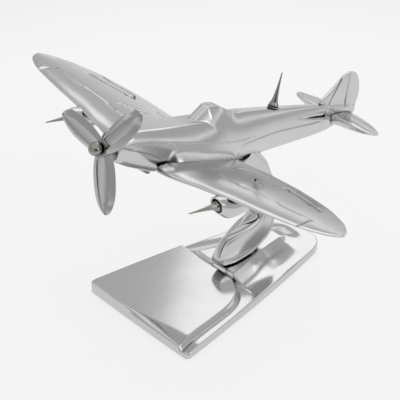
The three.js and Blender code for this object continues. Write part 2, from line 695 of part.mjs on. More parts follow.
// Propeller and what holds it, along the hub axis from the nose forwards.
const WASHER_THICKNESS = 0.8;
const NOSE_FACE = 7;
const rearWasherAt = NOSE_FACE - GAP - WASHER_THICKNESS;
const bushRear = rearWasherAt - GAP;
const frontWasherAt = HUB_FRONT - GAP - WASHER_THICKNESS;
const ballY = frontWasherAt - GAP - BALL_RADIUS * 0.84;
airframe.add(named('propeller_casting', skin(propellerCasting()), satinCasting));
airframe.add(named('propeller_bush', collar(BUSH_RADIUS, STUD_RADIUS + RUNNING_GAP, HUB_FRONT, bushRear), brass));
airframe.add(named('propeller_stud', collar(STUD_RADIUS, 0, ballY + 1, STUD_REAR), steel));
airframe.add(named(
  'propeller_rear_washer',
  collar(5.4, STUD_RADIUS + GAP, rearWasherAt, rearWasherAt + WASHER_THICKNESS),
  steel,
));
airframe.add(named(
  'propeller_front_washer',
  collar(6.4, STUD_RADIUS + GAP, frontWasherAt, frontWasherAt + WASHER_THICKNESS),
  steel,
));
const ballSeat = frontWasherAt - GAP - ballY;
const ballArc = steps(Math.asin(ballSeat / BALL_RADIUS), -Math.PI / 2, 10).map((t) => [
  BALL_RADIUS * Math.cos(t),
  BALL_RADIUS * Math.sin(t),
]);
ballArc[ballArc.length - 1][0] = 0;
const ballNut = named('spinner_ball_nut', turned(
  [0, 0.6],
  [STUD_RADIUS + GAP, 0.6],
  [STUD_RADIUS + GAP, ballSeat],
  ...ballArc,
), nickel);
ballNut.position.y = ballY;
airframe.add(ballNut);

for (const [side, name] of [[1, 'port'], [-1, 'starboard']]) {
  const barrel = new THREE.Group();
  barrel.position.set(side * POD_X, POD_MOUTH_Y + 1, BARREL_Z);
  barrel.rotation.x = BARREL_DROOP;
  barrel.add(named(`cannon_spike_${name}`, spike(), nickel));
  barrel.add(named(`cannon_collar_${name}`, spikeCollar(), steel));
  airframe.add(barrel);
}
const mast = new THREE.Group();
mast.position.set(0, MAST_Y, MAST_Z + GAP + COLLAR_THICKNESS);
mast.rotation.x = -Math.PI / 2;
mast.add(named('mast_spike', spike(), nickel));
mast.add(named('mast_collar', spikeCollar(), steel));
airframe.add(mast);

stand.add(named('pylon_casting', skin(pylonCasting()), polishedCasting));
stand.add(named('base_casting', skin(baseCasting()), polishedCasting));
stand.add(named('base_felt', baseFelt(), felt));
for (const [end, y] of Object.entries(BASE_SCREWS)) {
  const fastener = named(`base_screw_${end}`, panScrew(), steel);
  fastener.position.y = y;
  stand.add(fastener);
  const washer = collar(WASHER_RADIUS, SCREW_RADIUS + GAP, WASHER_TOP - 1, WASHER_TOP).rotateX(Math.PI / 2);
  const spacer = named(`base_washer_${end}`, washer, steel);
  spacer.position.y = y;
  stand.add(spacer);
}

export default model;
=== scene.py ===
"""Polished cast-metal desk model of a low-winged fighter on a pylon and a sculpted base."""
import json
import math

import bmesh
import bpy
import numpy as np
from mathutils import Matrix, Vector


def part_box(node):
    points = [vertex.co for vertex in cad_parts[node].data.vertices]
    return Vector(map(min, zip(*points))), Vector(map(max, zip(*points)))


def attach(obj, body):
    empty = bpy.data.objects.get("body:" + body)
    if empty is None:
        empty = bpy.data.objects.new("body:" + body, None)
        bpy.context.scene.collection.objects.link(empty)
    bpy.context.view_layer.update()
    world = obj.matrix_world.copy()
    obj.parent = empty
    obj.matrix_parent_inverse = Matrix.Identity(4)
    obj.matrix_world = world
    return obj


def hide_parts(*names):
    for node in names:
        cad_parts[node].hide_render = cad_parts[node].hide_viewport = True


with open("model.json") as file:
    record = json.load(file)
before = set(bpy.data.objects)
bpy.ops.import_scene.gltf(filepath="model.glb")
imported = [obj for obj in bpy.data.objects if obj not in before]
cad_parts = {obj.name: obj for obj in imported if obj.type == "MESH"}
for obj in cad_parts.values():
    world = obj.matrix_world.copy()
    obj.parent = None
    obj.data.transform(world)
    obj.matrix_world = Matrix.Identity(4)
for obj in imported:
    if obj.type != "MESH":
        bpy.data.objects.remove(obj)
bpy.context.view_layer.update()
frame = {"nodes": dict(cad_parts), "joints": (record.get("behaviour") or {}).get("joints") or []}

# --- frame: the hub, the way up of the tilted aircraft, the stand ---
# Shapes are in millimetres. The aircraft's axes are X to port, Y aft of the hub and Z up; the
# stand's are X to port, Y aft of the base's front edge and Z up from the ground.
MM = 0.001
SPIN = frame["joints"][0]
HUB = np.array(SPIN["pos_m"]) / MM
FORWARD = np.array(SPIN["axis"]) / np.linalg.norm(SPIN["axis"])
BASE_FRONT_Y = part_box("base_casting")[0].y / MM


def airborne(points):
    """Aircraft millimetres to frame millimetres."""
    p = np.asarray(points, float)
    aft = -FORWARD[1:]
    up = np.array([FORWARD[2], -FORWARD[1]])
    out = np.empty_like(p)
    out[..., 0] = p[..., 0]
    out[..., 1:] = HUB[1:] + p[..., 1:2] * aft + p[..., 2:3] * up
    return out


def grounded(points):
    """Stand millimetres to frame millimetres."""
    return np.asarray(points, float) + np.array([0, BASE_FRONT_Y, 0])


# --- curves ---


def profile(*knots):
    """Smooth curve through (place, value) knots, level beyond the first and last."""
    places, values = np.array(knots, float).T
    index = np.arange(len(places))
    before = np.maximum(index - 1, 0)
    after = np.minimum(index + 1, len(places) - 1)
    slopes = (values[after] - values[before]) / (places[after] - places[before])

    def at(place):
        place = np.clip(np.asarray(place, float), places[0], places[-1])
        i = np.clip(np.searchsorted(places, place, "right") - 1, 0, len(places) - 2)
        width = places[i + 1] - places[i]
        t = (place - places[i]) / width
        rise = values[i] * (1 + 2 * t) * (1 - t) ** 2 + values[i + 1] * t * t * (3 - 2 * t)
        return rise + slopes[i] * width * t * (1 - t) ** 2 - slopes[i + 1] * width * t * t * (1 - t)

    return at


def ramp(value):
    """0 up to 0 and 1 from 1, smooth in the middle."""
    t = np.clip(value, 0, 1)
    return t * t * (3 - 2 * t)


def between(value, start, end):
    """0 at start and 1 at end, smooth in the middle."""
    return ramp((value - start) / (end - start))


def soft_max(a, b, blend):
    """The larger of two values, rounded where they cross."""
    share = np.clip(0.5 + 0.5 * (a - b) / blend, 0, 1)
    return b * (1 - share) + a * share + blend * share * (1 - share)


def soft_min(a, b, blend):
    """The smaller of two values, rounded where they cross."""
    return -soft_max(-a, -b, blend)


def reach_to(x, y, route):
    """Distance from each (x, y) to a polyline."""
    best = np.full(np.shape(x), 1e9)
    for (ax, ay), (bx, by) in zip(route, route[1:]):
        dx, dy = bx - ax, by - ay
        t = np.clip(((x - ax) * dx + (y - ay) * dy) / (dx * dx + dy * dy), 0, 1)
        best = np.minimum(best, np.hypot(x - ax - t * dx, y - ay - t * dy))
    return best


def line_depth(across, along, lines):
    """Depth of the deepest groove at each place; lines are (route, half width, depth)."""
    depth = np.zeros(np.shape(across))
    for route, width, deep in lines:
        depth = np.maximum(depth, deep * (1 - ramp(reach_to(across, along, route) / width)))
    return depth


def near_lines(across, along, lines, margin):
    """Which places lie within margin of a groove."""
    return np.min([reach_to(across, along, r) - w for r, w, _ in lines], 0) < margin


def spread(*stops):
    """Places from (from, to, step) stretches, joined up."""
    parts = [
        np.linspace(a, b, max(2, int(math.ceil((b - a) / step)) + 1)) for a, b, step in stops
    ]
    return np.unique(np.round(np.concatenate(parts), 6))


# --- meshes ---


def loft(rings, caps=True):
    """Points and faces of a closed skin over rings with equal point counts."""
    rings = np.asarray(rings, float)
    count, around = rings.shape[:2]
    points = rings.reshape(-1, 3)
    row = np.arange(around)
    faces = []
    for r in range(count - 1):
        a, b = r * around + row, r * around + (row + 1) % around
        faces.extend(np.stack([a, b, b + around, a + around], 1).tolist())
    if caps:
        for r in (0, count - 1):
            middle = len(points)
            points = np.vstack([points, rings[r].mean(0)])
            a, b = r * around + row, r * around + (row + 1) % around
            order = [b, a] if r == 0 else [a, b]
            faces.extend(np.stack([*order, np.full(around, middle)], 1).tolist())
    return points, faces


# Closer points are merged, and shorter edges are dropped.
WELD_M, SLIVER_M = 2e-6, 1e-6


def linked(name, data):
    made = bpy.data.objects.new(name, data)
    bpy.context.scene.collection.objects.link(made)
    return made


def bare_mesh(name, points, faces):
    """A mesh object in metres with its faces outwards and no doubled points."""
    mesh = bpy.data.meshes.new(name)
    mesh.from_pydata((np.asarray(points) * MM).tolist(), [], faces)
    work = bmesh.new()
    work.from_mesh(mesh)
    bmesh.ops.remove_doubles(work, verts=work.verts, dist=WELD_M)
    bmesh.ops.dissolve_degenerate(work, edges=work.edges, dist=SLIVER_M)
    bmesh.ops.recalc_face_normals(work, faces=work.faces)
    work.to_mesh(mesh)
    work.free()
    return linked(name, mesh)


def lofted(name, rings, place=airborne):
    """A mesh object over rings in the aircraft's or the stand's millimetres."""
    return bare_mesh(name, *loft(place(rings)))


def apply_modifiers(made):
    """Keeps the modified mesh and drops the modifiers."""
    graph = bpy.context.evaluated_depsgraph_get()
    graph.update()
    fresh = bpy.data.meshes.new_from_object(made.evaluated_get(graph))
    made.modifiers.clear()
    made.data = fresh


def rounded(made, width, corner=38, rows=2):
    """Rounds off every edge sharper than the corner angle."""
    bevel = made.modifiers.new("rounded", "BEVEL")
    bevel.width = width * MM
    bevel.segments = rows
    bevel.limit_method = "ANGLE"
    bevel.angle_limit = math.radians(corner)
    bevel.use_clamp_overlap = True
    apply_modifiers(made)


def combine(made, others, operation):
    """Adds the others to a mesh or cuts them out of it, and removes them."""
    for other in others:
        join = made.modifiers.new("join", "BOOLEAN")
        join.operation = operation
        join.object = other
        join.solver = "MANIFOLD"
        apply_modifiers(made)
        bpy.data.objects.remove(other)


def finish_piece(made, node, material, body="body", crease=45):
    """Shades a piece, hands it to its body and hides the CAD node it stands for."""
    made.data.materials.clear()
    made.data.materials.append(material)
    made.data.shade_smooth()
    made.data.set_sharp_from_angle(angle=math.radians(crease))
    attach(made, body)
    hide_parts(node)


def refine(points, faces, near, times):
    """Splits the edges close to a feature, so that it can be cut finely."""
    work = bmesh.new()
    made = [work.verts.new(p) for p in points]
    for face in faces:
        work.faces.new([made[i] for i in face])
    for _ in range(times):
        work.verts.ensure_lookup_table()
        places = np.array([v.co for v in work.verts])
        close = near(places)
        work.verts.index_update()
        edges = [e for e in work.edges if all(close[v.index] for v in e.verts)]
        bmesh.ops.subdivide_edges(work, edges=edges, cuts=1, use_grid_fill=True)
    work.verts.index_update()
    places = np.array([v.co for v in work.verts])
    cells = [[v.index for v in f.verts] for f in work.faces]
    work.free()
    return places, cells


ROUND_STEPS = 96


def turned(outline, caps=True):
    """A solid of revolution about Y, from (radius, y) points; uncapped round a bore."""
    angle = np.linspace(0, 2 * np.pi, ROUND_STEPS, endpoint=False)
    level = np.ones(ROUND_STEPS)
    rings = [np.stack([r * np.cos(angle), y * level, r * np.sin(angle)], 1) for r, y in outline]
    return loft(rings, caps)


# --- materials ---


class Graph:
    """Adds shader nodes to a node tree and wires them."""

    def __init__(self, tree):
        self.tree = tree
        tree.nodes.clear()

    def add(self, kind, inputs=None, **settings):
        made = self.tree.nodes.new("ShaderNode" + kind)
        for key, value in settings.items():
            setattr(made, key, value)
        for key, value in (inputs or {}).items():
            if isinstance(value, bpy.types.NodeSocket):
                self.tree.links.new(value, made.inputs[key])
            else:
                made.inputs[key].default_value = value
        return made

    def noise(self, place, scale, detail, roughness=0.5):
        """A noise value at each place."""
        return self.add("TexNoise", {
            "Vector": place, "Scale": scale, "Detail": detail, "Roughness": roughness,
        }).outputs["Fac"]

    def carried(self, value, source, target, curve="LINEAR"):
        """A value carried over from one range to another."""
        return self.add("MapRange", {
            "Value": value, "From Min": source[0], "From Max": source[1],
            "To Min": target[0], "To Max": target[1],
        }, interpolation_type=curve).outputs["Result"]

    def blend(self, factor, first, second):
        """A colour between two; the sockets repeat per data type, so they go by index."""
        return self.add("Mix", {0: factor, 6: first, 7: second}, data_type="RGBA").outputs[2]

    def bump(self, height, strength, distance, **below):
        """A normal bent by a height, from the normal below if one is given."""
        return self.add("Bump", {
            "Height": height, "Strength": strength, "Distance": distance, **below,
        }).outputs["Normal"]


def new_material(name):
    material = bpy.data.materials.new(name)
    material.use_nodes = True
    return material, Graph(material.node_tree)


# Painted shade in corners and grooves, partly standing for polish residue: how far in metres a
# corner is darkened, and how open a spot is from fully darkened to untouched.
PAINTED_SHADE_REACH, PAINTED_SHADE_RANGE = 0.0022, (0.5, 0.95)
# The second tone of a casting, as a share of the first.
CLOUD_TONE = 0.92


def cast_metal(name, colour, painted_shade_colour, roughness, spread_of, grain, wave=0.35, rub=0.12):
    """Polished metal: rubbing marks along the grain, slow waves, and painted shade darkening the
    corners and grooves.
    """
    material, g = new_material(name)
    place = g.add("TexCoord").outputs["Object"]
    along = g.add("Mapping", {"Vector": place, "Scale": grain}).outputs["Vector"]
    marks = g.noise(along, 1.0, 5.0, 0.65)
    clouds = g.noise(place, 45.0, 3.0)
    slow = g.noise(place, 22.0, 1.0)
    fine = g.noise(place, 900.0, 2.0)
    # The colour darkens where ambient occlusion finds corners and grooves: painted shade, partly
    # standing for polish residue.
    sky_seen = g.add("AmbientOcclusion", {"Distance": PAINTED_SHADE_REACH}, samples=8).outputs["AO"]
    unshaded_share = g.carried(sky_seen, PAINTED_SHADE_RANGE, (0.0, 1.0))
    tone = g.blend(clouds, colour, [CLOUD_TONE * c for c in colour[:3]] + [1])
    painted_shaded_tint = g.blend(unshaded_share, painted_shade_colour, tone)
    rubs = g.add("Math", {0: marks, 1: 0.6}, operation="MULTIPLY").outputs[0]
    both = g.add("Math", {0: clouds, 1: 0.4, 2: rubs}, operation="MULTIPLY_ADD").outputs[0]
    rough = g.carried(both, (0.3, 0.7), (roughness - spread_of, roughness + spread_of))
    waves = g.bump(slow, wave, 0.0006)
    rubbed = g.bump(marks, rub, 0.00008, Normal=waves)
    speckled = g.bump(fine, 0.01, 0.00004, Normal=rubbed)
    shader = g.add("BsdfPrincipled", {
        "Base Color": painted_shaded_tint, "Metallic": 1.0, "Roughness": rough, "Normal": speckled,
    })
    g.add("OutputMaterial", {"Surface": shader.outputs["BSDF"]})
    return material


def felt_cloth():
    """Dark pressed felt with short matted fibres."""
    material, g = new_material("pressed_felt")
    place = g.add("TexCoord").outputs["Object"]
    fibre = g.noise(place, 1800.0, 6.0, 0.8)
    clump = g.noise(place, 260.0, 3.0)
    tone = g.blend(clump, (0.018, 0.02, 0.021, 1), (0.045, 0.048, 0.05, 1))
    nap = g.bump(fibre, 0.6, 0.0003)
    rough = g.carried(fibre, (0.0, 1.0), (0.85, 1.0))
    shader = g.add("BsdfPrincipled", {
        "Base Color": tone, "Roughness": rough, "Normal": nap, "Sheen Weight": 0.35,
    })
    g.add("OutputMaterial", {"Surface": shader.outputs["BSDF"]})
    return material


# How finely the rubbing marks are packed along X, Y and Z.
ALONG_BODY = (700.0, 90.0, 700.0)
ACROSS = (90.0, 700.0, 700.0)
ALL_WAYS = (500.0, 500.0, 500.0)
# The colour of each metal, and the near-black colour painted into its corners and grooves as shade,
# partly standing for polish residue.
ALUMINIUM = ((0.62, 0.615, 0.615, 1), (0.09, 0.088, 0.085, 1))
SATIN_ALUMINIUM = ((0.46, 0.45, 0.45, 1), ALUMINIUM[1])
NICKEL = ((0.35, 0.335, 0.31, 1), (0.05, 0.045, 0.04, 1))
STEEL = ((0.32, 0.32, 0.325, 1), (0.03, 0.03, 0.03, 1))
BRASS = ((0.6, 0.42, 0.16, 1), (0.1, 0.06, 0.02, 1))
body_metal = cast_metal("polished_aluminium_body", *ALUMINIUM, 0.2, 0.05, ALONG_BODY)
wing_metal = cast_metal("polished_aluminium_wing", *ALUMINIUM, 0.17, 0.05, ACROSS)
base_metal = cast_metal("polished_aluminium_base", *ALUMINIUM, 0.125, 0.025, ALONG_BODY, wave=0.2)
satin_metal = cast_metal("satin_aluminium", *SATIN_ALUMINIUM, 0.2, 0.04, ALL_WAYS, rub=0.02)
nickel_metal = cast_metal("nickel_plate", *NICKEL, 0.12, 0.03, ACROSS, wave=0.1)
steel_metal = cast_metal("bright_steel", *STEEL, 0.24, 0.06, ALL_WAYS, wave=0.1)
brass_metal = cast_metal("bearing_brass", *BRASS, 0.26, 0.06, ALL_WAYS, wave=0.1)
felt_material = felt_cloth()

# --- fuselage sections ---
NOSE, COWL_REAR, NOTCH_REAR, BELLY_REAR, TAIL_SEAM, TAIL_END = 7, 57, 66, 147, 280, 326
SEAM_GAP = 0.4
COWL_SHELL = 1.6
WING_ROOT_Z = -17.7
DIHEDRAL_RISE = 0.097

# Along Y: heights of the deck and the canopy arch, the half width of the flat strip on each, the
# chine's half width and height, the keel, and how square deck, arch and belly are.
deck_top = profile((7, 13), (15, 15.6), (26, 17.2), (40, 17.8), (84, 18), (97, 18.3), (112, 18.6))
deck_strip = profile((7, 5), (20, 8.5), (84, 9), (112, 9))
arch_top = profile(
    (97, 29.6), (110, 30.6), (118, 31.4), (127, 30.2), (138, 26), (148, 22.6), (160, 22.4),
    (195, 21.6), (244, 20), (300, 18), (326, 16),
)
arch_strip = profile((97, 4.4), (112, 4.4), (127, 4.5), (145, 4), (283, 2), (326, 1))
arch_round = profile((97, 1.15), (111, 1.18), (130, 1.32), (155, 1.45), (326, 1.4))
chine_half = profile(
    (7, 12.5), (15, 15), (40, 17.5), (60, 19.5), (90, 21), (120, 20), (155, 16), (205, 11),
    (272, 6), (326, 2),
)
chine_z = profile(
    (7, 2), (40, 3.5), (60, 1), (90, -2), (120, -5), (155, -6.5), (205, -0.3), (272, 3), (326, 10),
)
body_bottom = profile(
    (7, -10.5), (15, -13.4), (25, -16.8), (40, -20.4), (60, -24.6), (90, -27.5), (150, -27.5),
    (193, -23.8), (255, -15), (288, -9), (300, -5), (326, 6),
)
keel_half = profile((7, 5), (40, 7), (100, 9), (150, 7), (200, 3), (283, 1.6), (326, 0.8))
deck_round = profile((7, 2.2), (40, 2.05), (60, 1.85), (88, 1.5), (112, 1.35))
belly_round = profile((7, 2), (60, 2), (150, 1.4), (200, 1.15), (326, 1.15))
seam_z = profile((0, 6.6), (7, 5.4), (16, 3.4), (30, 0.4), (40, -2.2), (50, -6), (57, -10))
# How far the root fillet's toe stands out past the chine.
fillet_reach = profile(
    (60, -2), (64, 3), (69, 7.5), (76, 10), (86, 11), (102, 11.5), (128, 10.5), (142, 8),
    (151, 4), (158, -1), (168, -5),
)
# The deck gives way to the canopy arch up to its peak; the windscreen leans back from its foot.
CANOPY_FROM, WINDSCREEN_FOOT, CANOPY_PEAK = 90, 97, 124
WINDSCREEN_WRAP, WINDSCREEN_BLEND, WINDSCREEN_RUN = 0.136, 0.7, 16
# The crease that sets the flank in below the deck's shoulder, and where it fades out.
SHOULDER_DEPTH, SHOULDER_WIDTH, SHOULDER_RUN, SHOULDER_FADE = 0.6, 3.2, 0.9, (96, 108)
# The flank is evened out lengthwise between two places, below an angle that shrinks aft.
FLANK_FROM, FLANK_TO, FLANK_RUN, FLANK_REACH = 78, 184, 10, 20
FLANK_TOP, FLANK_TOP_SHIFT, FLANK_SHIFT, FLANK_BLEND = 0.42, 0.24, (116, 130), 0.35
# The fine line above the chine: its depth, distance above the chine, half width, and end run.
LINE_DEPTH, LINE_RISE, LINE_WIDTH, LINE_RUN = 0.6, 1.1, 0.7, 6
# The wedge ahead of the tailplane widens from its front to the tail seam.
HOLLOW_FROM, HOLLOW_Z, HOLLOW_DEPTH, HOLLOW_WIDTHS = 238, 10, 3.0, (0.7, 1.1)
# The fillet leaves the skin at an angle, bends and meets the wing at its toe.
FILLET_FROM, FILLET_TO, FILLET_START, FILLET_LEAD = 58, 176, 1.22, 0.12
FILLET_BEND, FILLET_BLEND = 5, 2.2
TOE_INSET, TOE_LIFT, TOE_SHORT, TOE_SINK = 0.6, 1, 2, 0.6
# Where the toe's angle gives way to the chine's behind the belly.
SEAM_SETTLE = 21


def wing_z(x):
    return WING_ROOT_Z + DIHEDRAL_RISE * np.abs(x)


def half_section(y, top, strip, flank):
    """Dense port half of a section, from the deck centre round the chine to the keel."""
    t = np.linspace(0, np.pi / 2, 160)
    wide, middle, low, keel = chine_half(y), chine_z(y), body_bottom(y), keel_half(y)
    upper = np.stack([
        strip + (wide - strip) * np.sin(t) ** (2 / flank),
        middle + (top - middle) * np.cos(t) ** (2 / flank),
    ], 1)
    lower = np.stack([
        keel + (wide - keel) * np.cos(t) ** (2 / belly_round(y)),
        middle - (middle - low) * np.sin(t) ** (2 / belly_round(y)),
    ], 1)
    deck = np.stack([np.linspace(0, strip, 30, endpoint=False), np.full(30, top)], 1)
    keel_line = np.stack([np.linspace(keel, 0, 20), np.full(20, low)], 1)
    return np.vstack([deck, upper, lower[1:], keel_line[1:]])


def polar(section, middle, angle):
    """Distance of a section from its middle, at an angle down from straight up."""
    turn = np.arctan2(section[:, 0], section[:, 1] - middle)
    return np.interp(angle, turn, np.hypot(section[:, 0], section[:, 1] - middle))


def body_radius(y, angle):
    """Distance of the body's skin from its middle line, at an angle down from straight up."""
    middle = float(chine_z(y))
    arch = polar(half_section(y, arch_top(y), arch_strip(y), arch_round(y)), middle, angle)
    if y > CANOPY_PEAK:
        return arch
    deck = polar(half_section(y, deck_top(y), deck_strip(y), deck_round(y)), middle, angle)
    past = np.maximum(angle - math.atan2(deck_strip(y), deck_top(y) - middle), 0) * deck
    above_chine = ramp((np.pi / 2 - angle) / SHOULDER_RUN)
    crease = SHOULDER_DEPTH * np.tanh(past / SHOULDER_WIDTH) * above_chine
    deck = deck - crease * (1 - between(y, *SHOULDER_FADE))
    if y < CANOPY_FROM:
        return deck
    side, high = np.sin(angle), np.cos(angle)
    lift = deck_top(WINDSCREEN_FOOT) - middle + (y - WINDSCREEN_FOOT)
    bend = WINDSCREEN_WRAP * np.maximum(side, 1e-4) ** 2
    pane = (-high + np.sqrt(np.maximum(high * high + 4 * bend * lift, 0))) / (2 * bend)
    share = between(y, CANOPY_FROM, CANOPY_PEAK)
    deck = deck * (1 - share) + np.minimum(deck, arch) * share
    canopy = soft_min(arch, pane, WINDSCREEN_BLEND)
    return soft_max(deck, canopy, WINDSCREEN_BLEND * (1 - share) + 0.05)


def skin_radius(y, angle):
    """The body's skin, with its flanks below the canopy evened out lengthwise."""
    own = body_radius(y, angle)
    if not FLANK_FROM < y < FLANK_TO:
        return own
    top = FLANK_TOP - FLANK_TOP_SHIFT * between(y, *FLANK_SHIFT)
    ends = ramp((y - FLANK_FROM) / FLANK_RUN), ramp((FLANK_TO - y) / FLANK_RUN)
    share = ramp((angle - top) / FLANK_BLEND) * ends[0] * ends[1]
    shifts = np.linspace(-1, 1, 11)[1:-1]
    weights = np.cos(shifts * np.pi / 2) ** 2
    near = [w * body_radius(y + FLANK_REACH * d, angle) for d, w in zip(shifts, weights)]
    return own * (1 - share) + sum(near) / weights.sum() * share


def chine_line(y, angle, radius):
    """Depth of the fine line cut along the rear fuselage just above the chine."""
    along = ramp((y - BELLY_REAR) / LINE_RUN) * ramp((TAIL_SEAM - LINE_RUN / 2 - y) / LINE_RUN)
    off = (np.pi / 2 - angle) * radius - LINE_RISE
    return LINE_DEPTH * along * np.exp(-((off / LINE_WIDTH) ** 2))


def tail_hollow(y, z):
    """Depth of the wedge pressed into the flank ahead of the tailplane."""
    if y < HOLLOW_FROM:
        return 0 * z
    share = (y - HOLLOW_FROM) / (TAIL_SEAM - HOLLOW_FROM)
    width = HOLLOW_WIDTHS[0] + HOLLOW_WIDTHS[1] * share
    return HOLLOW_DEPTH * ramp(share * 1.3) * np.exp(-(((z - HOLLOW_Z) / width) ** 2))


def fillet_radius(y, angle):
    """The concave fairing from the flank down on to the wing, or nothing above it."""
    middle = float(chine_z(y))
    toe = chine_half(y) - TOE_INSET + float(fillet_reach(y))
    low = wing_z(toe) + TOE_LIFT
    starts = np.array([FILLET_START - FILLET_LEAD, FILLET_START])
    skin = skin_radius(y, starts)
    (x_above, x_start), (z_above, z_start) = skin * np.sin(starts), middle + skin * np.cos(starts)
    lean = (x_start - x_above) / (z_start - z_above)
    bend = soft_min(x_start + lean * (low - z_start), toe - TOE_SHORT, FILLET_BEND)
    t = np.linspace(0, 1, 60)
    x = x_start * (1 - t) ** 2 + 2 * bend * t * (1 - t) + toe * t * t
    z = z_start * (1 - t) ** 2 + low * (1 - (1 - t) ** 2)
    turn = np.arctan2(x, z - middle)
    radius = np.interp(angle, turn, np.hypot(x, z - middle), left=0)
    floor = (low - TOE_SINK - middle) / np.minimum(np.cos(angle), -1e-3)
    return np.where(angle > turn[-1] + 1e-6, np.minimum(radius, floor), radius)


def toe_angle(y):
    reach = np.maximum(fillet_reach(y), 0)
    toe = chine_half(y) - TOE_INSET + reach
    return math.atan2(toe, wing_z(toe) + TOE_LIFT - chine_z(y))


def seam_angle(y):
    """Where the section is split: the cowl seam, then the fillet's toe, then the chine."""
    if y <= COWL_REAR:
        section = half_section(y, deck_top(y), deck_strip(y), deck_round(y))
        x = np.interp(-seam_z(y), -section[:, 1], section[:, 0])
        return math.atan2(x, seam_z(y) - chine_z(y))
    blend = ramp((y - BELLY_REAR) / SEAM_SETTLE)
    return toe_angle(y) * (1 - blend) + np.pi / 2 * blend


STRIP_STEPS, FLANK_STEPS, LOWER_STEPS, COWL_STEPS = 12, 58, 34, 60
NOSE_EDGE = 1.5
# How far the casting stands in below its seam, up to each place: cowl, notch and belly.
UNDER_INSETS = ((COWL_REAR, COWL_SHELL), (NOTCH_REAR, 5.0), (BELLY_REAR, 2.2))
# Half the run of the step between two insets, and the longest step lengthwise.
STEP_RUN, LONGEST_STEP = 0.02, 1.3


def drawn_in(y, start, depth, run):
    """How far a rounded front edge is drawn in, at y."""
    left = min(max(1 - (y - start) / run, 0), 1)
    return depth * (1 - math.sqrt(1 - left**2))


def ring_angles(y):
    """Angles across the top strip, down the flank and under the split."""
    on_deck = math.atan2(deck_strip(y), deck_top(y) - chine_z(y))
    on_arch = math.atan2(arch_strip(y), arch_top(y) - chine_z(y))
    share = ramp((y - WINDSCREEN_FOOT) / WINDSCREEN_RUN)
    edge = on_deck * (1 - share) + on_arch * share
    split = seam_angle(y)
    strip = np.linspace(0, edge, STRIP_STEPS, endpoint=False)
    flank = np.linspace(edge, split, FLANK_STEPS)
    lower = split + (np.pi - split) * np.linspace(0, 1, LOWER_STEPS)
    return strip, flank, lower


def body_ring(y, angle, reach):
    """A closed ring from the port half's angles and distances."""
    x, z = reach * np.sin(angle), chine_z(y) + reach * np.cos(angle)
    port = np.stack([x, np.full(len(x), float(y)), z], 1)
    return np.vstack([port, port[::-1] * [-1, 1, 1]])


def under_inset(y):
    return next((inset for rear, inset in UNDER_INSETS if y < rear), 0.0)


def fuselage_ring(y, hide):
    strip, flank, lower = ring_angles(y)
    upper = np.concatenate([strip, flank])
    draw = drawn_in(y, NOSE, NOSE_EDGE, NOSE_EDGE)
    radius = skin_radius(y, upper) - draw
    hollow = tail_hollow(y, chine_z(y) + radius * np.cos(upper))
    radius = radius - hollow - chine_line(y, upper, radius)
    under = skin_radius(y, lower) - hide - draw
    if FILLET_FROM < y < FILLET_TO:
        radius = soft_max(radius, fillet_radius(y, upper), FILLET_BLEND)
        under = np.maximum(under, fillet_radius(y, lower))
    return body_ring(y, np.concatenate([upper, lower]), np.concatenate([radius, under]))


def fuselage():
    places = spread(
        (NOSE, 9, 0.25), (9, 60, LONGEST_STEP), (60, 94, 1.2), (94, 126, 0.4), (126, 180, 1.1),
        (180, TAIL_SEAM - 0.3, 1.6),
    )
    rings = []
    for y in places:
        rings.append(fuselage_ring(y, under_inset(y)))
        for edge, _ in UNDER_INSETS:
            if y < edge <= y + LONGEST_STEP and not np.any((places > y) & (places < edge)):
                rings.append(fuselage_ring(edge - STEP_RUN, under_inset(edge - 1)))
                rings.append(fuselage_ring(edge + STEP_RUN, under_inset(edge + 1)))
    made = lofted("fuselage_skin", rings)
    finish_piece(made, "fuselage_casting", body_metal, crease=50)


def lower_cowl():
    """The shell under the nose, from its seam round to the other side's."""
    across = [-1, 1, 1]
    rings = []
    for y in spread((NOSE + 0.2, 9, 0.25), (9, COWL_REAR - SEAM_GAP, 1.2)):
        seam = seam_angle(y)
        start = seam + SEAM_GAP / body_radius(y, np.array([seam]))[0]
        angle = np.linspace(start, np.pi, COWL_STEPS)
        outer = body_radius(y, angle) - drawn_in(y, NOSE, NOSE_EDGE, NOSE_EDGE)
        outside, inside = [
            np.stack([reach * np.sin(angle), np.full(COWL_STEPS, y),
                      chine_z(y) + reach * np.cos(angle)], 1)
            for reach in (outer, outer - (COWL_SHELL - 0.25))
        ]
        rings.append(np.vstack([
            outside, outside[::-1][1:] * across, inside * across, inside[::-1][1:],
        ]))
    made = lofted("lower_cowl_shell", rings)
    rounded(made, 0.3)
    finish_piece(made, "lower_cowl_casting", body_metal)


def chin_scoop():
    """Small scoop with an open mouth under the cowl's rear edge."""
    front, rear, depth = 47.0, 56.6, 5.0
    width = profile((front, 3.6), (50, 6), (rear, 7))
    turn = np.linspace(0, 2 * np.pi, 72, endpoint=False)

    def ring(y, shrink):
        high = body_bottom(y) + 0.9 - (y - front) * 0.1
        x = (width(y) - shrink) * np.cos(turn)
        z = high + (3.4 + (y - front) * 0.2 - shrink) * np.sin(turn)
        return np.stack([x, np.full(len(turn), y), z], 1)

    rings = [ring(y, 0) for y in np.linspace(rear, front + 0.4, 30)]
    rings += [ring(front, 0.3), ring(front, 0.8), ring(front + 0.5, 1.1)]
    rings += [ring(y, 1.2) for y in np.linspace(front + 1, front + depth, 8)]
    made = lofted("chin_scoop", rings)
    finish_piece(made, "chin_intake", satin_metal)


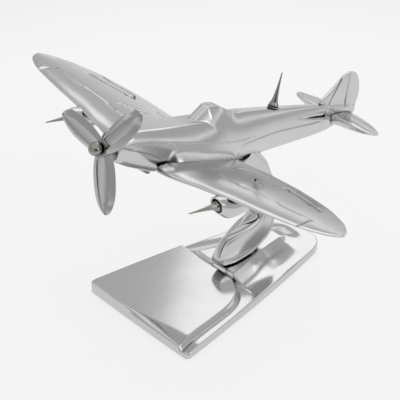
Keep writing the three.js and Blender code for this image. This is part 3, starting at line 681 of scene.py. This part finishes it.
# --- wing ---
HALF_SPAN = 200
leading_y = profile(
    (0, 67), (10, 66), (14, 62), (18, 52), (22, 46.5), (40, 46), (64, 51), (82, 53.5), (102, 57),
    (133, 60), (153, 62.7), (170, 65.5), (181, 69), (191, 74.2), (196, 78.6), (198.8, 83),
    (HALF_SPAN, 88),
)
trailing_y = profile(
    (0, 146), (28, 145), (45, 145), (60, 145.5), (76, 144), (107, 139.6), (133, 133), (153, 126.6),
    (170, 118), (181, 111.5), (191, 102.5), (196, 97.2), (198.8, 92.6), (HALF_SPAN, 89),
)
wing_thick = profile(
    (0, 12), (30, 11), (60, 8.5), (100, 6.8), (150, 4.6), (190, 2.6), (HALF_SPAN, 1.6),
)
EDGE_THICKNESS = 1.2
# Grooves in the port wing's upper side, mirrored to starboard: route, half width and depth.
PANEL_LINES = [
    ([(50, 87), (167, 87)], 0.95, 0.4),
    ([(168.7, 62), (168.7, 71), (167, 87)], 1.0, 0.7),
    ([(101, 128), (108, 125), (122, 122), (137, 118), (152, 114)], 1.3, 1.9),
    ([(107, 134), (120, 131), (135, 127), (146, 127)], 1.2, 1.5),
    ([(101, 128), (107, 134)], 1.1, 1.3),
    ([(76, 115), (95, 101)], 0.8, 0.4),
    ([(73, 118.5), (79, 109.5)], 1.2, 1.6),
    ([(47, 89), (47, 122), (50, 128), (59, 133), (74, 134)], 1.0, 0.6),
]
# How often and how close to a groove the skin is split, and how high its upper side starts.
GROOVE_SPLITS, GROOVE_MARGIN, UPPER_SIDE = 4, 1.2, 0.1


def aerofoil(u):
    """Half height of a foil of unit thickness, from the leading edge at 0 to the trailing at 1."""
    return 5 * (0.2969 * np.sqrt(u) - 0.126 * u - 0.3516 * u * u + 0.2843 * u**3 - 0.1015 * u**4)


def chord_shares(count):
    """Places along a chord, closer together towards both edges."""
    return (1 - np.cos(np.linspace(0, np.pi, count))) / 2


def wing_half_height(x, y):
    out = np.abs(x)
    lead, trail = leading_y(out), trailing_y(out)
    u = np.clip((y - lead) / np.maximum(trail - lead, 1e-6), 0, 1)
    return wing_thick(out) * aerofoil(u) + EDGE_THICKNESS / 2 * u


def wing_skin():
    out = spread((0, 24, 1.4), (24, 180, 2.2), (180, 196, 1.1), (196, HALF_SPAN, 0.5))
    u = chord_shares(54)
    rings = []
    for x in np.concatenate([-out[:0:-1], out]):
        y = leading_y(abs(x)) + (trailing_y(abs(x)) - leading_y(abs(x))) * u
        high, level = wing_half_height(x, y), np.full(len(u), x)
        upper = np.stack([level, y, wing_z(x) + high], 1)
        lower = np.stack([level, y, wing_z(x) - high], 1)
        rings.append(np.vstack([upper, lower[:0:-1]]))

    def near(p):
        over = p[:, 2] > wing_z(p[:, 0]) + UPPER_SIDE
        return over & near_lines(np.abs(p[:, 0]), p[:, 1], PANEL_LINES, GROOVE_MARGIN)

    points, faces = refine(*loft(rings), near, GROOVE_SPLITS)
    x, y, z = points.T
    cut = (z > wing_z(x) + UPPER_SIDE) & (np.abs(x) < HALF_SPAN - 0.5)
    height = wing_z(x) + wing_half_height(x, y) - line_depth(np.abs(x), y, PANEL_LINES)
    points[:, 2] = np.where(cut, height, z)
    made = bare_mesh("wing_skin", airborne(points), faces)
    finish_piece(made, "wing_casting", wing_metal)


def belly():
    """The wing casting's belly between the cowl and the rear fuselage."""
    rings = []
    for y in spread((NOTCH_REAR, NOTCH_REAR + 2, 0.4), (NOTCH_REAR + 2, BELLY_REAR - 0.3, 1.6)):
        angle = np.linspace(seam_angle(y), np.pi, 60)
        rings.append(body_ring(y, angle, skin_radius(y, angle) - drawn_in(y, NOTCH_REAR, 1.5, 2)))
    made = lofted("belly_fairing", rings)
    rounded(made, 0.3)
    finish_piece(made, "wing_casting", wing_metal)


POD_X, POD_MOUTH_Y, POD_TAIL_Y = 95, 50, 116
pod_radius = profile((50, 7.8), (56, 9.4), (64, 10.2), (76, 9.6), (90, 7.2), (104, 4), (116, 0.8))
pod_z = profile((50, -15.6), (64, -17.6), (80, -15.5), (104, -10), (116, -8.5))
# The mouth's lower lip stands back, and the rake fades out over the run behind it.
POD_RAKE, POD_RAKE_RUN = 0.42, 16


def pod(side, name):
    """Round fairing with a raked open mouth for the gun barrel."""
    turn = np.linspace(0, 2 * np.pi, ROUND_STEPS, endpoint=False)

    def ring(y, radius):
        z = pod_z(y) + radius * np.sin(turn)
        rake = POD_RAKE * (1 - ramp((y - POD_MOUTH_Y) / POD_RAKE_RUN)) * (z - pod_z(y))
        return np.stack([side * POD_X + radius * np.cos(turn), y - rake, z], 1)

    rings = [ring(y, pod_radius(y)) for y in np.linspace(POD_TAIL_Y, POD_MOUTH_Y, 60)]
    lip = pod_radius(POD_MOUTH_Y)
    for back, shrink in ((-0.35, 0.3), (-0.4, 0.8), (0, 1.4)):
        rings.append(ring(POD_MOUTH_Y + back, lip - shrink))
    rings += [ring(y, lip - 1.6) for y in np.linspace(POD_MOUTH_Y + 0.6, POD_MOUTH_Y + 4, 6)]
    made = lofted(f"pod_fairing_{name}", rings)
    finish_piece(made, "wing_casting", wing_metal)


# --- tail ---
TAILPLANE_Z = 8
fin_lead = profile((4, 292), (20, 272), (25, 274), (33, 282.5), (42, 291), (48, 297), (50.6, 304))
fin_trail = profile(
    (4, 318), (11.5, 325), (20, 327.4), (27, 327.4), (36, 325), (44.5, 320), (49, 315.5),
    (50.6, 312),
)
tail_lead = profile((0, 289), (14, 291), (30, 292), (42, 293.5), (49, 296.5), (52.5, 301))
tail_trail = profile((0, 322), (20, 320), (35, 316), (44, 311.5), (50, 308), (52.5, 305.5))
tail_deep = profile((0, 14), (12, 11), (20, 10), (30, 8), (40, 5.6), (52.5, 1.6))
# Grooves in both faces of the fin: route of (y, z), half width and depth.
FIN_LINES = [
    ([(305, 47), (309, 16)], 1.5, 0.9),
    ([(294, 44.5), (288, 30), (283, 18)], 1.3, 0.6),
]
# The shares of the tailplane's thickness above and below its middle; the top is flatter.
TAILPLANE_SHARES = (0.24, 0.76)


def foil(lead, trail, thick):
    """Places along the chord and heights of a foil's closed outline."""
    u = chord_shares(44)
    high = thick * aerofoil(u) + 0.55 * u
    y = lead + (trail - lead) * u
    return np.concatenate([y, y[:0:-1]]), np.concatenate([high, -high[:0:-1]])


def fin():
    rings = []
    for z in spread((4, 46, 0.8), (46, 50.6, 0.3)):
        thick = 5.6 - 0.05 * z + 5 * math.exp(-max(z - 15, 0) / 2.2)
        y, x = foil(fin_lead(z), fin_trail(z), thick)
        rings.append(np.stack([x, y, np.full(len(y), z)], 1))
    points, faces = refine(*loft(rings), lambda p: near_lines(p[:, 1], p[:, 2], FIN_LINES, 1.4), 2)
    half = np.abs(points[:, 0])
    depth = np.minimum(line_depth(points[:, 1], points[:, 2], FIN_LINES), half * 0.8)
    points[:, 0] -= np.sign(points[:, 0]) * depth
    return bare_mesh("fin_shape", airborne(points), faces)


def tailplane():
    rings = []
    out = spread((0, 44, 1.0), (44, 52.5, 0.4))
    for x in np.concatenate([-out[:0:-1], out]):
        y, z = foil(tail_lead(abs(x)), tail_trail(abs(x)), tail_deep(abs(x)))
        z = TAILPLANE_Z + 2 * z * np.where(z > 0, *TAILPLANE_SHARES)
        rings.append(np.stack([np.full(len(y), x), y, z], 1))
    return lofted("tailplane_shape", rings)


def tail():
    rings = []
    for y in spread((TAIL_SEAM, TAIL_SEAM + 1, 0.25), (TAIL_SEAM + 1, TAIL_END, 1.0)):
        strip, flank, lower = ring_angles(y)
        angle = np.concatenate([strip, flank[::2], lower[1:]])
        draw = 0.5 * max(0, 1 - (y - TAIL_SEAM) / 0.75) ** 2
        rings.append(body_ring(y, angle, body_radius(y, angle) - draw))
    made = lofted("tail_skin", rings)
    combine(made, [fin(), tailplane()], "UNION")
    finish_piece(made, "tail_casting", body_metal, crease=35)


# --- propeller ---
PROPELLER_RADIUS = 57
BLADE_WIDTH = 24
BLADE_ANGLES = (38, 158, 278)
BLADE_PITCH = math.radians(-9)
blade_share = profile(
    (3, 0.66), (9, 0.82), (16, 0.95), (26, 1), (38, 0.95), (46, 0.8), (52, 0.58), (55, 0.38),
    (56.6, 0.2), (57, 0.1),
)
ridge_share = profile((3, 0.5), (20, 0.52), (40, 0.5), (50, 0.42), (57, 0.2))
HUB_RADIUS, HUB_FRONT, HUB_REAR, BUSH_RADIUS = 7.4, -2.4, 3.4, 2.9


def blade_face(across, ridge):
    """Forward relief: a dished middle between two ridges, and bands sloping to the edges."""
    out = np.abs(across)
    band = np.clip((1 - out) / (1 - ridge), 0, 1)
    slope = 2.7 * band**0.85
    dish = 1.5 + 0.45 * (out / ridge) ** 2
    inside = 1 - ramp((out - ridge + 0.05) / 0.07)
    return slope * (1 - inside) + dish * inside


def blade(angle):
    turn = math.radians(angle)
    lead = np.linspace(-1, 1, 61)
    front = np.sign(lead) * np.abs(lead) ** 0.9
    back = front[::-1][1:-1]
    rings = []
    for r in spread((3, 50, 0.9), (50, PROPELLER_RADIUS, 0.35)):
        pitch = BLADE_PITCH * (1.25 - 0.5 * r / PROPELLER_RADIUS)
        share = float(blade_share(r))
        thin = 0.35 + 0.65 * min(1, share / 0.8)
        relief = -blade_face(front, float(ridge_share(r))) * thin
        across = np.concatenate([front, back]) * (BLADE_WIDTH / 2 * share)
        deep = np.concatenate([relief, 1.25 * (1 - np.abs(back) ** 2.2) * thin + 0.15])
        x = across * math.cos(pitch) - deep * math.sin(pitch)
        y = across * math.sin(pitch) + deep * math.cos(pitch)
        rings.append(np.stack([
            x * math.cos(turn) + r * math.sin(turn), y, -x * math.sin(turn) + r * math.cos(turn),
        ], 1))
    return lofted("blade_shape", rings)


def arc(centre, radius, start, stop, count):
    """Points (radius, y) on an arc; angles in degrees from the outward direction to the rear."""
    t = np.radians(np.linspace(start, stop, count))
    return [(centre[0] + radius * math.cos(a), centre[1] + radius * math.sin(a)) for a in t]


def propeller():
    bore = BUSH_RADIUS + 0.3
    hub = [(bore, HUB_FRONT)]
    hub += arc((HUB_RADIUS - 1.2, HUB_FRONT + 1.2), 1.2, -90, 0, 8)
    hub += arc((HUB_RADIUS - 0.8, HUB_REAR - 0.8), 0.8, 0, 90, 6)
    hub += [(bore, HUB_REAR), (bore, HUB_FRONT)]
    points, faces = turned(hub, caps=False)
    made = bare_mesh("propeller_blades", airborne(points), faces)
    combine(made, [blade(angle) for angle in BLADE_ANGLES], "UNION")
    points, faces = turned([(BUSH_RADIUS + 0.25, y) for y in (HUB_FRONT - 3, HUB_REAR + 3)])
    combine(made, [bare_mesh("bore_shape", airborne(points), faces)], "DIFFERENCE")
    finish_piece(made, "propeller_casting", satin_metal, "propeller", 32)


# --- turned pieces ---
STUD_RADIUS = 1.5
STUD_HOLE = STUD_RADIUS + 0.3
BALL_RADIUS = 6.1
# Where the hole cuts the ball, as a share of its radius.
BALL_FLAT = 0.84
TURNED_METALS = {"nickel": nickel_metal, "steel": steel_metal}


def turned_piece(name, outline, node, slot, move=None, bored=False):
    """A turned piece on the propeller's line, or moved off it; a bored one has no caps."""
    points, faces = turned(outline, caps=not bored)
    if move is not None:
        points = move(points)
    made = bare_mesh(name, airborne(points), faces)
    finish_piece(made, node, TURNED_METALS[slot], crease=45 if bored else 40)


SPIKE_LENGTH = 33
spike_radius = profile(
    (-33, 0.25), (-32.6, 0.5), (-25, 0.95), (-15, 1.7), (-8, 2.5), (-4, 3.4), (-2.2, 4.3),
    (-1.4, 4.6),
)


def spike_outline():
    outline = [(0.02, -SPIKE_LENGTH - 0.05)]
    outline += [(float(spike_radius(y)), y) for y in np.linspace(-SPIKE_LENGTH, -1.4, 90)]
    outline += arc((4.1, -0.9), 0.5, -40, 90, 7)
    outline += [(3.2, 0.2), (STUD_RADIUS, 0.25), (STUD_RADIUS, 8), (0.02, 8)]
    return outline


def collar_outline(outer, front, rear, edge):
    return [
        (STUD_HOLE, rear), (STUD_HOLE, front), *arc((outer - edge, front + edge), edge, -90, 0, 5),
        *arc((outer - edge, rear - edge), edge, 0, 90, 5), (STUD_HOLE, rear),
    ]


def ball_outline():
    middle = -3.5 - 0.3 - BALL_RADIUS * BALL_FLAT
    return [
        (0.02, middle - BALL_RADIUS), *arc((0, middle), BALL_RADIUS, -89, 57, 60),
        (STUD_HOLE, middle + BALL_RADIUS * BALL_FLAT), (STUD_HOLE, middle + 0.6),
        (0.02, middle + 0.6),
    ]


BARREL_DROOP = math.radians(6)
BARREL_Z = -15.4
MAST_Y, MAST_Z = 205.5, 23.3


def at_pod(side):
    def move(p):
        c, s = math.cos(BARREL_DROOP), math.sin(BARREL_DROOP)
        y, z = p[:, 1] * c - p[:, 2] * s, p[:, 1] * s + p[:, 2] * c
        return np.stack([p[:, 0] + side * POD_X, y + POD_MOUTH_Y + 1, z + BARREL_Z], 1)
    return move


def at_mast(p):
    return np.stack([p[:, 0], p[:, 2] + MAST_Y, MAST_Z - p[:, 1]], 1)


def hardware():
    spike, collar = spike_outline(), collar_outline(5.4, 0.3, 1.3, 0.3)
    for side, move in (("port", at_pod(1)), ("starboard", at_pod(-1))):
        turned_piece(f"gun_spike_{side}", spike, f"cannon_spike_{side}", "nickel", move)
        turned_piece(f"gun_collar_{side}", collar, f"cannon_collar_{side}", "steel", move, True)
    turned_piece("aerial_mast", spike, "mast_spike", "nickel", at_mast)
    turned_piece("aerial_mast_collar", collar, "mast_collar", "steel", at_mast, True)
    turned_piece("spinner_ball", ball_outline(), "spinner_ball_nut", "nickel")
    for where, outer, front in (("front", 6.4, -3.5), ("rear", 5.4, 5.9)):
        washer = collar_outline(outer, front, front + 0.8, 0.2)
        turned_piece(f"{where}_washer", washer, f"propeller_{where}_washer", "steel", bored=True)


# --- pylon ---
PYLON_SECTIONS = [
    # front (y, z), rear (y, z), front edge, rear edge and middle half thickness
    ((104.5, 17.9), (139, 17.9), 5, 8.6, 9.4), ((99, 21.5), (151, 23), 5, 8.4, 9.4),
    ((97, 27), (163, 29), 4.8, 8, 9.4), ((99.5, 34), (170, 37), 4, 7, 9.4),
    ((104, 41.5), (172.5, 46), 2.8, 6, 9.4), ((111.5, 47.5), (174, 55), 1.4, 5, 9.2),
    ((131, 52), (174, 66), 1.2, 4.5, 9), ((147.5, 56.5), (173, 79), 1.2, 4, 8.8),
    ((151, 68), (170.5, 91), 1.6, 4, 8.6), ((149, 82), (167, 100), 2, 4, 8.4),
    ((142.5, 97), (162, 113), 2.5, 4, 8.3), ((132.5, 111), (154.5, 124), 3, 4, 8.2),
    ((120, 125), (143, 138), 3, 4, 8),
]
PYLON_EDGE_ROUND = 2.2
# The groove that sets off the raised bead: its distance in from the outline, depth and width.
BEAD_WIDTH, GROOVE_DEPTH, GROOVE_WIDTH = 4.4, 0.6, 0.8
LEAST_HALF = 0.35


def pylon_half_width(reach, share, rim, middle):
    """Half thickness: rounded edge and bead along the outline, gently full across the face."""
    edge = np.sqrt(1 - (1 - np.clip(reach / PYLON_EDGE_ROUND, 0, 1)) ** 2)
    swell = np.sin(np.pi * share)
    deep = GROOVE_DEPTH * (0.1 + 0.9 * ramp(share / 0.45))
    groove = deep * np.exp(-(((reach - BEAD_WIDTH) / GROOVE_WIDTH) ** 2))
    return np.maximum((rim + (middle - rim) * swell) * edge - groove, LEAST_HALF)


def pylon():
    count = len(PYLON_SECTIONS)
    tracks = np.array([[*s[0], *s[1], *s[2:]] for s in PYLON_SECTIONS])
    front_y, front_z, rear_y, rear_z, front_rim, rear_rim, middle = [
        profile(*zip(range(count), column)) for column in tracks.T
    ]
    route_steps = np.linspace(0, count - 1, 110)
    route = list(zip(front_y(route_steps[::-1]), front_z(route_steps[::-1])))
    route += list(zip(rear_y(route_steps), rear_z(route_steps)))
    t = np.linspace(0, 2 * np.pi, 300, endpoint=False)
    side = np.sign(np.round(np.sin(t), 9))
    share = (1 - np.cos(t)) / 2
    rings = []
    for i in spread((0, 0.6, 0.03), (0.6, count - 1, 0.08)):
        y = front_y(i) + (rear_y(i) - front_y(i)) * share
        z = front_z(i) + (rear_z(i) - front_z(i)) * share
        rim = front_rim(i) + (rear_rim(i) - front_rim(i)) * ramp(share)
        half = pylon_half_width(reach_to(y, z, route), share, rim, middle(i))
        rings.append(np.stack([side * half, y, z], 1))
    made = lofted("pylon_crescent", rings, grounded)
    finish_piece(made, "pylon_casting", body_metal, crease=60)


# --- base ---
BASE_LENGTH, BASE_FRONT_HALF, BASE_REAR_HALF = 215, 69, 30
BASE_MIDDLE = np.array([0, 118.0])
BASE_RIM = 1.8
FELT_INSET = 3
LEDGE_TOP, PLATE_TOP, BLOCK_TOP = 10, 13.4, 17.5
RISER_AT, RISER_RUN, BLOCK_END, BLOCK_FADE, SLOPE_RUN = 104, 2, 178, 30, 27
BASE_BOTTOM = 1.3
# The plate's step down along the swoosh, and the shallow valley at its foot.
STEP_WIDTH = 3.5
VALLEY_DEPTH, VALLEY_OUT, VALLEY_WIDTH, VALLEY_END, VALLEY_FADE = 1.3, 1.2, 1.7, 101, 8
swoosh_x = profile(
    (0, 60), (24, 55.5), (55, 51.5), (72, 48.5), (86, 42.5), (96, 33), (104, 20), (112, 14),
)
# Half widths of the raised block's flat top, to port and to starboard.
block_port = profile((104, 18.6), (127, 14.7), (141, 11), (152, 8.5), (180, 6), (215, 5))
block_starboard = profile((104, 31), (125, 22), (150, 12), (180, 7), (215, 6))
# The front edge rolls off, over a longer run towards port.
front_roll = profile((-30, 0), (0, 5), (40, 15), (69, 22))
FRONT_DROP = 2.6


def curve(start, control, stop, count):
    """Points on a quadratic curve, without the last."""
    t = np.linspace(0, 1, count, endpoint=False)[:, None]
    start, control, stop = np.array(start), np.array(control), np.array(stop)
    return start * (1 - t) ** 2 + 2 * control * t * (1 - t) + stop * t * t

def base_outline(inset, count=640):
    """Evenly spaced outline of the base, drawn in."""
    front, rear, long = BASE_FRONT_HALF - inset, BASE_REAR_HALF - inset, BASE_LENGTH - inset
    port = np.vstack([
        curve((0, inset - 0.6), ((front - 5) / 2, inset - 0.6), (front - 5, inset), 30),
        curve((front - 5, inset), (front, inset), (front - 0.4, inset + 5), 30),
        curve((front - 0.4, inset + 5), ((front + rear) / 2 + 5, long * 0.52),
              (rear + 5, long - 19), 90),
        curve((rear + 5, long - 19), (rear, long), (rear - 15, long), 40),
        [(rear - 15, long)],
    ])
    whole = np.vstack([port, port[::-1] * [-1, 1]])
    whole = np.vstack([whole, whole[:1]])
    steps = np.concatenate([[0], np.cumsum(np.hypot(*np.diff(whole, axis=0).T))])
    even = np.linspace(0, steps[-1], count, endpoint=False)
    return np.stack([np.interp(even, steps, whole[:, 0]), np.interp(even, steps, whole[:, 1])], 1)


def top_height(x, y):
    """Height of the base's upper side."""
    across = swoosh_x(y) - x
    riser = (RISER_AT - y) / RISER_RUN
    plate = (PLATE_TOP - LEDGE_TOP) * ramp(across / STEP_WIDTH) * ramp(riser + 0.5)
    valley = VALLEY_DEPTH * np.exp(-(((across + VALLEY_OUT) / VALLEY_WIDTH) ** 2))
    plate = plate - valley * ramp((VALLEY_END - y) / VALLEY_FADE)
    beyond = np.where(x > 0, x - block_port(y), -x - block_starboard(y))
    flank = (1 - np.clip(beyond / SLOPE_RUN, 0, 1)) ** 2
    along = ramp(0.5 - riser) * (1 - ramp((y - BLOCK_END) / BLOCK_FADE))
    roll = np.maximum(front_roll(x), 0.5)
    drop = FRONT_DROP * np.clip(1 - y / roll, 0, 1) ** 2
    return LEDGE_TOP + plate + (BLOCK_TOP - LEDGE_TOP) * flank * along - drop


def moved_in(outline, inset):
    """The outline moved towards the base's middle."""
    inward = BASE_MIDDLE - outline
    inward /= np.linalg.norm(inward, axis=1)[:, None]
    return outline + inward * inset


def base():
    outline = base_outline(0)

    def ring(spot, height):
        return np.column_stack([spot, np.full(len(spot), height)])

    def side_ring(inset, below):
        """A ring on the side, this far below the top there."""
        spot = moved_in(outline, inset)
        return ring(spot, top_height(*spot.T) - below)

    rings = [ring(moved_in(outline, 0.8), BASE_BOTTOM), ring(outline, BASE_BOTTOM + 0.8)]
    side = top_height(*outline.T) - BASE_RIM - BASE_BOTTOM
    rings += [ring(outline, BASE_BOTTOM + side * level) for level in (0.35, 0.7)]
    for a in np.linspace(0, np.pi / 2, 8)[:-1]:
        rings.append(side_ring(BASE_RIM * (1 - math.cos(a)), BASE_RIM * (1 - math.sin(a))))
    for share in np.linspace(1, 0.02, 110):
        spot = BASE_MIDDLE + (moved_in(outline, BASE_RIM) - BASE_MIDDLE) * share
        rings.append(ring(spot, top_height(*spot.T)))
    made = lofted("base_slab", rings, grounded)
    finish_piece(made, "base_casting", base_metal, crease=60)


def felt_pad():
    outline = base_outline(FELT_INSET, 320)
    rings = [
        np.column_stack([moved_in(outline, inset), np.full(len(outline), z)])
        for inset, z in [(0.4, 0.0), (0.0, 0.25), (0.0, 0.8), (0.5, 1.05)]
    ]
    made = lofted("felt_pad", rings, grounded)
    finish_piece(made, "base_felt", felt_material)


# --- the other nodes keep their CAD shape ---


def dress_frame():
    for name, node in frame["nodes"].items():
        node.data.materials.clear()
        node.data.materials.append(brass_metal if "bush" in name else steel_metal)


# --- stage ---
# Brightness of the studio wall against the sine of the angle above the floor.
SKY_LEVELS = (
    (0.0, 1.15), (0.07, 1.08), (0.14, 0.6), (0.3, 0.56), (0.66, 0.6), (0.78, 0.98), (0.92, 0.95),
    (1.0, 0.7),
)
# The dark flag behind the metal's black accents: its middle, its soft edge as the cosine of the
# angle from there, and how bright the wall is outside and inside it.
FLAG_WAY, FLAG_EDGE, FLAG_SHADE = (0.9, -0.42, 0.1), (0.84, 0.97), (1.0, 0.12)
# The floor's glow falls off with the distance from the middle, in metres.
FLOOR_HALF_M, FLOOR_FADE_M, FLOOR_GLOW, GLOW_SHARE = 9, (0.42, 1.3), (0.965, 0.45), 0.8
# Place, aim, size and power.
SOFTBOXES = {
    "back_softbox": ((-0.683, 1.419, 1.23), (0, 0, 0), (1.38, 0.9), 3.4),
    "side_softbox": ((1.7, 0.6, 1.0), (0, 0, 0.1), (0.7, 0.9), 3.0),
}
CAMERA_PLACE, CAMERA_TURN, CAMERA_LENS = (0.9150, -0.8770, 0.9703), (55.095, 0, 47.576), 148.5


def floor():
    corners = np.array([(-1, -1, 0), (1, -1, 0), (1, 1, 0), (-1, 1, 0)]) * FLOOR_HALF_M / MM
    ground = bare_mesh("ground", corners, [[0, 1, 2, 3]])
    pale, g = new_material("pale_floor")
    spot = g.add("TexCoord").outputs["Object"]
    away = g.add("VectorMath", {0: spot}, operation="LENGTH").outputs["Value"]
    cloth = g.add("BsdfDiffuse", {"Color": (0.9, 0.9, 0.9, 1)})
    glow = g.add("Emission", {
        "Color": (1, 1, 1, 1), "Strength": g.carried(away, FLOOR_FADE_M, FLOOR_GLOW, "SMOOTHSTEP"),
    })
    mix = g.add("MixShader", {0: GLOW_SHARE, 1: cloth.outputs[0], 2: glow.outputs[0]})
    g.add("OutputMaterial", {"Surface": mix.outputs[0]})
    ground.data.materials.append(pale)


def studio():
    world = bpy.data.worlds.new("studio")
    bpy.context.scene.world = world
    world.use_nodes = True
    g = Graph(world.node_tree)
    way = g.add("TexCoord").outputs["Generated"]
    high = g.add("SeparateXYZ", {0: way}).outputs["Z"]
    shade = g.add("ValToRGB", {"Fac": high})
    levels = shade.color_ramp.elements
    while len(levels) < len(SKY_LEVELS):
        levels.new(0.5)
    for element, (place, value) in zip(levels, SKY_LEVELS):
        element.position = place
        element.color = (value, value, value, 1)
    flag = g.add("VectorMath", {0: way, 1: FLAG_WAY}, operation="DOT_PRODUCT").outputs["Value"]
    shaded = g.carried(flag, FLAG_EDGE, FLAG_SHADE, "SMOOTHSTEP")
    sky = g.add("Background", {"Color": shade.outputs["Color"], "Strength": shaded})
    g.add("OutputWorld", {"Surface": sky.outputs[0]})
    bpy.context.scene.view_settings.view_transform = "Standard"


def softbox(name, place, aim, size, power):
    lamp = bpy.data.lights.new(name, "AREA")
    lamp.shape = "RECTANGLE"
    lamp.size, lamp.size_y = size
    lamp.energy = power
    made = linked(name, lamp)
    made.location = place
    made.rotation_euler = (Vector(aim) - Vector(place)).to_track_quat("-Z", "Y").to_euler()


def camera():
    lens = bpy.data.cameras.new("camera")
    lens.lens = CAMERA_LENS
    lens.sensor_width = 36
    made = linked("camera", lens)
    made.location = CAMERA_PLACE
    made.rotation_euler = [math.radians(turn) for turn in CAMERA_TURN]
    bpy.context.scene.camera = made


camera()
floor()
studio()
for lamp_name, values in SOFTBOXES.items():
    softbox(lamp_name, *values)
fuselage()
lower_cowl()
chin_scoop()
wing_skin()
belly()
pod(1, "port")
pod(-1, "starboard")
tail()
propeller()
hardware()
pylon()
base()
felt_pad()
dress_frame()
